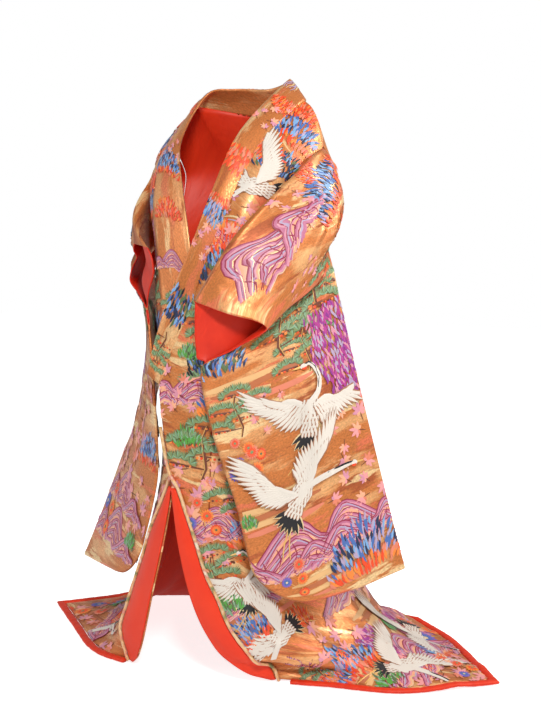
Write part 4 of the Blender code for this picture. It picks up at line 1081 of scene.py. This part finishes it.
def crane(n, pose):
    """A flying crane about 0.25 m across: two fanned wings, scaled body, black tail plumes, neck and bill."""
    near, far, neck, tail = POSES[pose]
    body = tail + 180
    rump, chest = around(tail, 0.050), around(body, 0.024)
    for shank, toe in (((6, 0.100), (10, 0.128)), ((12, 0.098), (17, 0.124))):
        leg = [rump, around(tail - shank[0], shank[1]), around(tail - toe[0], toe[1])]
        n.stitch("gold", leg, 0.0028, 1, "line", 0.0004)
    feathers(n, far, 1, 15, 0.0098, 1.0)
    feathers(n, far, 0.50, 12, 0.0080, 3.4)
    for k in range(9):
        angle = tail - 52 + 13 * k
        start = around(tail, 0.034 + 0.004 * (k % 2))
        n.stitch("pale_gold", [start, around(angle, 0.046, start)], 0.0120, 2.6, "leaf", 0.0002)
        n.stitch("black", [start, around(angle + 4, 0.024, start), around(angle, 0.044, start)], 0.0088, 3.4)
    n.stitch("white", [chest, (0, 0), around(tail, 0.046)], 0.046, 3.0, "leaf", 0.0020)
    side_ways = np.array(around(tail + 90, 1.0))
    for row in range(8):
        for k in range(-2, 3):
            aside = side_ways * (k * 0.0066 + 0.003 * (row % 2 - 0.5))
            start = np.array(around(tail, -0.022 + 0.0085 * row)) + aside
            end = np.array(around(tail + 4 * k, 0.0135, start))
            n.stitch("cream", [start, end], 0.0078, 6.8 + row * 0.15, "feather", 0.0002)
            n.stitch("white", [start, end], 0.0048, 7.6 + row * 0.15, "feather", 0.0006)
    feathers(n, near, 1, 16, 0.0100, 8.2)
    feathers(n, near, 0.52, 13, 0.0080, 10.6)
    feathers(n, near, 0.26, 11, 0.0066, 12.2)
    n.stitch("white", near[0], 0.0120, 12.6, "line", 0.0014)
    n.stitch("white", far[0], 0.0120, 5.0, "line", 0.0014)
    head = neck[-1]
    ahead = math.degrees(math.atan2(head[1] - neck[-2][1], head[0] - neck[-2][0]))
    under = [around(ahead + 90, -0.0036, p) for p in neck]
    n.stitch("white", [around(body, 0.002), *neck], 0.0125, 8.4, "hair", 0.0012)
    n.stitch("black", under[1:], 0.0042, 9.6, "line", 0.0008)
    n.stitch("gold", [head, around(ahead, 0.026, head)], 0.0046, 8.6, "hair", 0.0006)
    n.stitch("white", [around(ahead, -0.006, head), around(ahead, 0.010, head)], 0.0120, 9.8, "leaf", 0.0012)
    n.stitch("scarlet", [around(ahead + 90, 0.0040, around(ahead, -0.004, head)),
                         around(ahead + 90, 0.0036, around(ahead, 0.006, head))], 0.0066, 11, "band", 0.0008)
    n.stitch("black", [head, around(ahead, 0.003, head)], 0.0026, 11.6, "band", 0.0005)


PEAKS = ((0.0, 0.12, 0.34), (-0.13, 0.075, 0.20), (0.14, 0.060, 0.20))     # middle, height, foot; rear first
SLOPE = ((-1.0, 0.0), (-0.62, 0.30), (-0.30, 0.80), (-0.05, 1.0), (0.20, 0.84), (0.42, 0.52), (0.68, 0.33),
         (1.0, 0.02))


def hills(n):
    """Overlapping hills of laid bands, each rimmed in crimson and some with a gold line."""
    for nth, (middle, high, wide) in enumerate(PEAKS):
        bands = max(4, round(high / 0.0125))
        for k in range(bands):
            share = 1 - k / bands
            half, top = wide / 2 * (0.25 + 0.75 * share), high * share
            lean = 0.06 * wide * math.sin(2.2 * share + nth)
            route = [(middle + x * half + lean * y, y * top + 0.0035 * math.sin(9 * x + 2.1 * k))
                     for x, y in SLOPE]
            level = 0.4 + 3.0 * nth + 0.05 * k
            for colour, rise, width, above, profile, crown in (
                    (("rose", "mauve", "peach")[k % 3], -0.0040, 0.0088, 0.02, "full", 0.0007),
                    (("mauve", "lavender", "rose")[k % 3], 0.0028, 0.0072, 0.0, "full", 0.0007),
                    ("crimson", 0.0062, 0.0032, 1.6, "line", 0.0006),
                    ("pale_gold", -0.0066, 0.0028, 1.2, "line", 0.0004))[:3 + k % 2]:
                n.stitch(colour, [(x, y + rise) for x, y in route], width, level + above, profile, crown)
        for k in range(5):
            x = middle + wide * (-0.22 + 0.12 * k)
            y = high * (0.70 - 0.16 * abs(k - 1.5))
            n.stitch("crimson", [(x, y), (x + 0.006, y - high * 0.22), (x - 0.004, y - high * 0.36)], 0.0042,
                     2.6 + 3.0 * nth, "hair", 0.0006)


BOUGHS = ((0.0, 0.07, 0.075), (-0.055, 0.035, 0.080), (0.050, 0.030, 0.080), (-0.010, 0.000, 0.085),
          (0.070, -0.020, 0.070))      # middle x and y, width
TRUNK = ((0.01, -0.055), (0.0, -0.02), (0.012, 0.03), (0.0, 0.07))


def pine(n):
    """Layered pine boughs: fans of green needles over a rust underside, joined by a leaning trunk."""
    n.stitch("brown", TRUNK, 0.0075, 0.6, "line", 0.0010)
    n.stitch("gold", [(x + 0.0022, y) for x, y in TRUNK], 0.0022, 2.2, "line", 0.0005)
    for nth, (x0, y0, wide) in enumerate(BOUGHS):
        n.stitch("brown", [(TRUNK[1][0], y0 - 0.012), (x0, y0 - 0.003), (x0 + wide * 0.30, y0 - 0.001)],
                 0.0042, 0.9, "line")
        for k in range(9):
            x = x0 + wide * (-0.44 + 0.11 * k)
            n.stitch(("scarlet", "orange", "brown")[(k + nth) % 3],
                     [(x, y0 - 0.004), around(-100 + 8 * k, 0.010, (x, y0))], 0.0070)
        fans = max(5, int(wide / 0.0125))
        for k in range(fans):
            share = k / (fans - 1) * 2 - 1
            start = (x0 + wide * 0.45 * share, y0 + 0.010 * (1 - share * share))
            for j in range(9):
                angle = 90 - 40 * share + (j - 4) * 17
                reach = 0.0215 - 0.0011 * abs(j - 4)
                colour = ("sage", "moss", "jade", "sage")[(j + k) % 4]
                n.stitch(colour, [start, around(angle, reach, start)], 0.0048,
                         2.0 + 0.3 * (k % 3) + 0.1 * (j % 2), "hair")


BLUE = ("sky", "blue", "navy", "sky", "blue", "lavender")
DUSK = ("navy", "blue", "black", "navy", "moss", "sky")
FLAME = ("scarlet", "orange", "scarlet", "salmon")
WISTERIA = ("magenta", "purple", "rose", "magenta", "lavender")
SPRING = ("leaf", "leaf", "moss", "jade")
THICKETS = {    # colours, colours along the foot, width, height
    "bush": (BLUE, FLAME, 0.15, 0.080), "flame": (FLAME, FLAME, 0.11, 0.060),
    "dusk": (DUSK, DUSK, 0.13, 0.070), "spring": (SPRING, SPRING, 0.075, 0.040),
}


def thicket(n, palette, foot, wide, high):
    """A rounded mass of flame-shaped stitches in overlapping rows; foot is the palette along its foot."""
    rng, rows, spread, stitch, thick = n.rng, 9, 32.0, 0.022, 0.0062
    for row in range(rows):
        share = 1 - row / (rows - 1)
        half = wide / 2 * math.sqrt(max(0.10, 1 - (share * 0.96) ** 2))
        across = max(3, int(2 * half / (thick * 1.18)))
        for k in range(across):
            x = half * (2 * (k + 0.5 * (row % 2) * 0.9) / across - 0.95) + rng.normal(0, thick * 0.2)
            y = high * share + rng.normal(0, stitch * 0.18)
            angle = 90.0 - spread * x / (wide / 2) + rng.normal(0, 7)
            size = stitch * (1 + 0.18 * rng.normal())
            use = foot if row > rows - 3 else palette
            colour = use[int(rng.integers(len(use)))]
            route = [(x, y), around(angle + 9, size * 0.5, (x, y)), around(angle, size, (x, y))]
            n.stitch(colour, route, thick * (0.85 + 0.25 * rng.random()), 1 + row * 0.55)


def weeping(n):
    """Hanging sprays: columns of stitches that point down, ragged at the foot."""
    rng, wide, high, pitch = n.rng, 0.10, 0.20, 0.0095
    for column in range(7):
        x0 = wide * (column / 6 - 0.5)
        drop = high * (0.62 + 0.38 * math.sin(math.pi * (column + 0.7) / 7.4)) * (0.88 + 0.24 * rng.random())
        rows = int(drop / pitch)
        for row in range(rows):
            for k in (-1, 0, 1):
                x = x0 + k * 0.0058 + rng.normal(0, 0.0014) + 0.010 * math.sin(row * 0.5 + column)
                y = high / 2 - row * pitch + rng.normal(0, 0.002)
                colour = WISTERIA[int(rng.integers(len(WISTERIA)))]
                n.stitch(colour, [(x, y), around(-90 + 16 * k + rng.normal(0, 6), 0.0185, (x, y))], 0.0056,
                         1 + 0.16 * (rows - row) + 0.3 * k)


LEAVES = ("pink", "rose", "peach", "pink", "salmon")
FINGERS = (0.021, 0.019, 0.016, 0.010)      # length of a leaf's fingers, middle one first


def maple(n):
    """A drift of eight seven-fingered leaves on thin stems."""
    for nth in range(8):
        x, y = around(nth * 137.5, 0.088 * math.sqrt((nth + 0.4) / 8))
        middle = (x * 1.15, y * 0.85)
        turn, size = n.rng.uniform(0, 360), n.rng.uniform(1.0, 1.5)
        n.stitch("brown", [around(turn + 180, 0.017 * size, middle), middle], 0.0020, 1.0, "line", 0.0003)
        for k in range(7):
            tip = around(turn + (k - 3) * 41, FINGERS[abs(k - 3)] * size, middle)
            level = 1.2 + 0.2 * (nth % 3) + 0.1 * k
            n.stitch(LEAVES[(nth + k // 3) % 5], [middle, tip], 0.0066 * size, level)


BLOOMS = (("orange", "scarlet", "sage"), ("violet", "blue", "pale_gold"), ("scarlet", "orange", "moss"),
          ("salmon", "scarlet", "sage"))      # outer petals, inner petals, eye


def chrysanthemum(n, colours, reach):
    """A flower of two rings of 15 petals round an eye of seven stitches."""
    for ring, (length, wide) in enumerate(((reach, 0.0085), (reach * 0.66, 0.0072))):
        for k in range(15):
            angle = 360 * (k + 0.5 * ring) / 15
            n.stitch(colours[ring], [around(angle, reach * 0.18), around(angle, length)], wide,
                     1 + 1.4 * ring + 0.1 * (k % 2), "feather", 0.0009)
    for k in range(7):
        angle = 360 * k / 7
        n.stitch(colours[2], [around(angle, reach * 0.24), around(angle + 180, reach * 0.06)], 0.0042, 4.2)


def flowers(n):
    """A spray of chrysanthemums with gold stems, drawn about the needle's own middle."""
    for k, colours in enumerate(BLOOMS):
        x, y = around(k * 137.5 + 20, 0.030 + 0.016 * k)
        n.stitch("gold", [(0, -0.02), (x * 0.6, y * 0.3), (x, y)], 0.0022, 0.6, "line", 0.0003)
        n.shift = (x, y)
        chrysanthemum(n, colours, 0.024 + 0.006 * n.rng.random())
        n.shift = (0.0, 0.0)


def mist(n):
    """Level bars of cloud, laid flat."""
    for x, y, length, colour in ((-0.02, 0.030, 0.22, "haze"), (0.03, 0.012, 0.28, "rust"),
                                 (-0.05, -0.008, 0.20, "haze"), (0.05, -0.028, 0.24, "salmon")):
        route = [(x + length * (k / 6 - 0.5), y + 0.002 * math.sin(k * 1.4 + x * 90)) for k in range(7)]
        n.stitch(colour, route, 0.0155, 0.0, "band", 0.0002)


def water(n):
    """Six flowing lines of water, every third one gold."""
    for row in range(6):
        route = [(0.20 * (k / 10 - 0.5) + 0.010 * (row % 2),
                  -0.011 * row + 0.0060 * math.sin(k * 1.5 + row * 0.9)) for k in range(11)]
        n.stitch("lavender" if row % 3 else "pale_gold", route, 0.0066, 1 + 0.1 * row, "band", 0.0008)


# Layouts: motif, down station and column on the pattern's own grid, size, then where they aren't 0, 0 and 1
# the layer, the turn in degrees and the flip.
STATIONS = {"body": (S_ROWS, N_OVER + 2 * N_FRONT + N_NECK), "sleeve": (V_ROWS, 3),
            "collar": (np.arange(15), 1)}      # stations of a pattern's rows, and columns across it
LAYOUT_FRONT_L = [
    # front, shoulder to thigh
    ("bush", 0.9, 9, 1.05, 0, 10), ("flame", 0.35, 8.5, 0.75, 2, 10), ("flame", 1.35, 7, 0.85, 3, -20),
    ("dusk", 1.5, 11, 0.8, 1), ("dive", 1.85, 8.6, 0.95, 6, 20), ("water", 2.5, 11, 0.7),
    ("maple", 2.5, 7, 0.75, 4), ("flame", 3.1, 7, 0.95, 2), ("dusk", 3.5, 8, 0.95, 4),
    ("hills", 3, 10, 0.5), ("maple", 3.3, 12, 0.75), ("hills", 3.9, 13, 0.6), ("pine", 4.2, 6, 0.9, 6),
    ("spring", 4.6, 3, 0.62, 7), ("pine", 4.7, 9, 0.95, 1, 0, -1), ("dusk", 4.8, 6, 0.8, 2),
    ("bush", 4.7, 12, 0.9, 2), ("hills", 5.2, 4, 0.62), ("maple", 5.1, 1.5, 0.75, 6),
    ("bush", 5.35, 8, 0.85, 3), ("spring", 5.7, 3, 0.8, 5), ("pine", 5.8, 5.5, 0.95, 6, 0, -1),
    ("mist", 5.8, 10, 0.8), ("weeping", 6.2, 12, 0.75, 2), ("maple", 6.35, 3, 0.95),
    ("maple", 6.3, 7.5, 0.85), ("pine", 6.55, 9.5, 0.85, 4), ("flowers", 6.7, 5, 0.55, 5, 30),
    ("hills", 7, 6.5, 0.6), ("maple", 7.2, 3.6, 0.8, 3), ("bush", 7.1, 10.5, 0.8, 3),
    ("pine", 7.6, 6, 0.8, 4, 0, -1), ("rise", 7.75, 9, 0.82, 6, -8), ("flame", 7.3, 13, 0.7),
    ("hills", 8, 12, 0.7), ("spring", 8.2, 6.5, 0.8, 5), ("mist", 8.3, 8, 0.7),
    ("dive", 8.75, 9.5, 0.88, 6, 14), ("bush", 8.9, 7, 0.75, 3), ("maple", 9, 13, 0.9, 4),
    ("flame", 8.6, 12, 0.65, 2),
    # front of the train
    ("weeping", 9.4, 15, 0.6), ("hills", 9.7, 8, 0.62), ("dive", 10.1, 13.5, 0.95, 6, -60, -1),
    ("mist", 10.1, 11, 0.8), ("flowers", 9.8, 11, 0.55, 3), ("bush", 10.5, 9, 0.95, 3),
    ("spring", 10.75, 11, 0.85, 5), ("maple", 10.5, 12.5, 1, 2), ("flame", 10.7, 7, 0.75, 2),
    ("hills", 10.1, 17, 0.95, 3), ("maple", 10.75, 15, 1.05, 3), ("hills", 10.6, 19, 0.8, 2),
    ("bush", 10.2, 15.5, 0.7, 2), ("maple", 10.75, 18, 1, 5), ("pine", 10.7, 5.5, 0.6, 4),
    ("flame", 10.5, 18.5, 0.8, 2), ("flowers", 10.75, 16.5, 0.55, 6),
]
LAYOUT_BACK_L = [
    ("maple", 0.8, 26, 0.9), ("glide", 1.7, 25, 1, 6), ("bush", 2.4, 20, 0.9), ("pine", 3.1, 27, 1.1, 2),
    ("hills", 4, 23, 0.9), ("weeping", 4.6, 29, 1.1, 2), ("dive", 5.2, 24, 1.1, 6, 0, -1),
    ("mist", 5.6, 27, 0.9), ("maple", 5.6, 19, 1, 2), ("flowers", 6.3, 28, 1, 4), ("pine", 6.6, 21, 1.1, 2),
    ("rise", 7.4, 27, 1.1, 6), ("hills", 8.2, 23, 1), ("bush", 8.3, 29, 1, 4), ("mist", 8.8, 20, 0.9),
    ("maple", 9.2, 26, 1.2, 2), ("spring", 9.4, 21, 0.9, 3), ("dive", 9.9, 22, 1.1, 6, 40),
    ("hills", 10.3, 27, 1.1), ("pine", 10.2, 30, 1, 4), ("flowers", 10.6, 24, 1, 5),
    ("bush", 10.7, 20, 1, 4), ("weeping", 9.7, 24, 0.7), ("mist", 10.8, 29, 1),
]
LAYOUT_FRONT_R = [
    ("flame", 0.5, 8, 0.8, 2), ("bush", 1.2, 8, 0.9), ("maple", 1.5, 11, 0.8),
    ("flame", 2, 6.5, 0.8, 2, 0, -1), ("bush", 2.5, 9, 0.9, 2), ("water", 2.9, 6, 0.6),
    ("hills", 3.2, 8, 0.75), ("pine", 3.8, 5, 0.8, 2, 0, -1), ("weeping", 3.9, 11, 0.7),
    ("dusk", 4.4, 7, 0.8, 2), ("rise", 4.8, 10, 0.9, 6), ("bush", 5.2, 4, 0.7), ("pine", 5.9, 8, 0.9, 2),
    ("hills", 6, 4, 0.6), ("maple", 6.5, 6, 0.9, 3), ("hills", 6.9, 10, 0.8), ("spring", 7.2, 7, 0.8, 3),
    ("maple", 7.6, 8, 0.9), ("flowers", 7.5, 12, 0.9, 4), ("hills", 8.1, 8.5, 0.6, 2),
    ("bush", 8.8, 11, 0.9), ("dusk", 9, 8, 0.8, 2), ("glide", 9.8, 9, 0.85, 6, 30, -1),
    ("hills", 9.9, 13, 0.9), ("maple", 10.5, 7, 1), ("flame", 10.2, 11, 0.8, 2),
    ("hills", 10.6, 10, 0.6, 4), ("flowers", 10.6, 15, 0.9, 4), ("maple", 10.6, 13, 1, 3),
    ("spring", 10, 17, 0.8, 2),
]
LAYOUT_BACK_R = [
    ("maple", 0.9, 25, 0.9), ("weeping", 1.8, 27, 1), ("dive", 2.7, 25.5, 1, 6), ("bush", 3.3, 28, 1),
    ("flowers", 4, 23, 1, 2), ("pine", 4.5, 28, 1.1, 2, 0, -1), ("hills", 5.4, 22, 0.9),
    ("glide", 5.7, 27, 1.1, 6, 0, -1), ("maple", 6.5, 20, 1, 2), ("mist", 6.7, 26, 0.9),
    ("bush", 7.3, 24, 1, 2), ("pine", 8, 28, 1.1, 4), ("rise", 8.6, 22, 1, 6, 0, -1), ("hills", 9.3, 26, 1),
    ("spring", 9.6, 20, 0.9, 3), ("maple", 10.2, 29, 1.1, 3), ("dive", 10.2, 23, 1, 6),
    ("flowers", 10.7, 26, 1, 4), ("bush", 10.7, 20, 1, 2), ("mist", 10.4, 18, 0.8),
]
LAYOUT_SLEEVE_L = [
    ("hills", 1.2, 2.3, 1.05, 0, 30), ("maple", 0.5, 1.35, 0.75, 2, 20), ("bush", 1.1, 0.8, 1.1, 3, 35),
    ("flame", 1.5, 0.42, 0.85, 2, 20), ("flame", 0.75, 0.35, 0.7, 2, 10), ("maple", 1.6, 1.6, 0.6),
    ("flame", 0.25, 0.9, 0.55, 1, 40), ("pine", 2.75, 1.25, 0.95, 3), ("flame", 2.9, 0.5, 0.6, 1),
    ("pine", 3.35, 0.6, 1.05, 4, 0, -1), ("pine", 3.6, 1.55, 1, 5), ("flame", 3.2, 1.85, 0.6, 1),
    ("dusk", 4.1, 2.7, 1.05, 2), ("pine", 4.1, 0.95, 0.8, 2, 0, -1), ("weeping", 4.25, 0.28, 1.05, 6, 8),
    ("mist", 4.4, 2, 0.85), ("pine", 4.75, 2.35, 0.75, 3, 0, -1), ("rise", 4.95, 1.1, 1.08, 6, -14),
    ("maple", 5.3, 0.28, 0.9), ("flowers", 5.6, 2.55, 0.62, 5), ("dive", 6, 1.62, 1.1, 20, 34, -1),
    ("maple", 6.2, 0.5, 0.9), ("mist", 6.3, 2.5, 0.8), ("spring", 6.4, 2.85, 0.5, 4),
    ("flowers", 5.3, 2.45, 0.5, 5, 50), ("hills", 7.3, 2.2, 0.9), ("hills", 7, 0.85, 0.75, 0, 0, -1),
    ("flowers", 7.5, 2.3, 0.5, 12), ("bush", 7.72, 0.85, 1.15, 8), ("mist", 7.6, 1.6, 0.7),
    ("maple", 4.75, 1.7, 0.6),
]
LAYOUT_SLEEVE_R = [
    ("bush", 0.8, 2.3, 0.8, 2), ("flame", 1.4, 1.4, 0.7), ("maple", 0.9, 0.8, 0.8),
    ("hills", 2.8, 1.6, 0.7), ("pine", 3.8, 2.3, 0.85, 3), ("weeping", 4.2, 0.8, 0.9),
    ("mist", 4.7, 2, 0.8), ("maple", 4.9, 2.6, 0.8, 2), ("maple", 5.3, 1.6, 1.1, 1),
    ("maple", 5.6, 0.7, 1, 3, 40), ("bush", 5.9, 2.5, 0.8, 2), ("maple", 6.1, 1.3, 1.1, 2),
    ("hills", 6.7, 1.4, 0.7), ("maple", 6.6, 2.5, 0.9), ("flowers", 6.9, 0.6, 0.8, 4),
    ("mist", 7, 1.8, 0.7), ("hills", 7.5, 1.4, 0.8), ("spring", 7.4, 2.5, 0.7, 5),
]
LAYOUT_INNER = [
    ("pine", 4, 1.6, 0.8, 2), ("hills", 4.3, 0.6, 0.7), ("maple", 4.8, 1.6, 0.9), ("maple", 5.3, 0.6, 1),
    ("maple", 5.8, 1.3, 1), ("flowers", 6.3, 2.2, 0.9, 3), ("maple", 6.4, 0.6, 0.9),
    ("bush", 6.8, 1.9, 0.7, 2), ("hills", 7.3, 1, 0.95), ("bush", 7.5, 2.3, 0.8, 3),
    ("dive", 5.4, 2.2, 0.9, 6),
]
LAYOUT_COLLAR = [
    ("pine", 0.5, 0.5, 0.6, 2), ("dusk", 1.3, 0.5, 0.9), ("maple", 2, 0.5, 0.62, 2),
    ("bush", 2.7, 0.5, 0.7), ("flame", 3.5, 0.45, 0.9), ("maple", 4.1, 0.5, 0.6, 2),
    ("flame", 4.45, 0.35, 0.62), ("water", 5.3, 0.5, 0.5, 0, 90), ("maple", 6.3, 0.5, 0.6),
    ("bush", 7.3, 0.4, 0.7), ("water", 8.3, 0.5, 0.5, 0, 90), ("flame", 9.6, 0.4, 0.7),
    ("maple", 10.3, 0.5, 0.6), ("bush", 11, 0.5, 0.8), ("flame", 11.8, 0.5, 0.7),
    ("hills", 12.5, 0.5, 0.35), ("pine", 13.1, 0.5, 0.6), ("maple", 13.7, 0.5, 0.5),
]
DRAWN = dict(hills=hills, pine=pine, mist=mist, water=water, weeping=weeping, maple=maple, flowers=flowers)


def embroidered(name, ground, layout, seed):
    """All of a layout's motifs, worked on a ground."""
    stations, columns = STATIONS[ground.split("_")[0]]
    n = Needle(seed)
    for motif, down, across, size, *rest in layout:
        layer, turn, flip = rest + [0, 0, 1][len(rest):]
        row = np.interp(down, stations, np.arange(len(stations))) / (len(stations) - 1)
        n.start((row, across / columns), size, turn, flip, layer)
        if motif in POSES:
            crane(n, motif)
        elif motif in THICKETS:
            thicket(n, *THICKETS[motif])
        else:
            DRAWN[motif](n)
    return embroider("embroidery_" + name, grounds[ground], n)


stitched = {}
for name, ground, layout in (
        ("front_left", "body_left", LAYOUT_FRONT_L), ("back_left", "body_left", LAYOUT_BACK_L),
        ("front_right", "body_right", LAYOUT_FRONT_R), ("back_right", "body_right", LAYOUT_BACK_R),
        ("sleeve_left", "sleeve_left", LAYOUT_SLEEVE_L), ("sleeve_right", "sleeve_right", LAYOUT_SLEEVE_R),
        ("inner_left", "sleeve_inner_left", LAYOUT_INNER), ("inner_right", "sleeve_inner_right", LAYOUT_INNER),
        ("collar", "collar", LAYOUT_COLLAR)):
    stitched[name] = embroidered(name, ground, layout, seed=11 + len(stitched))
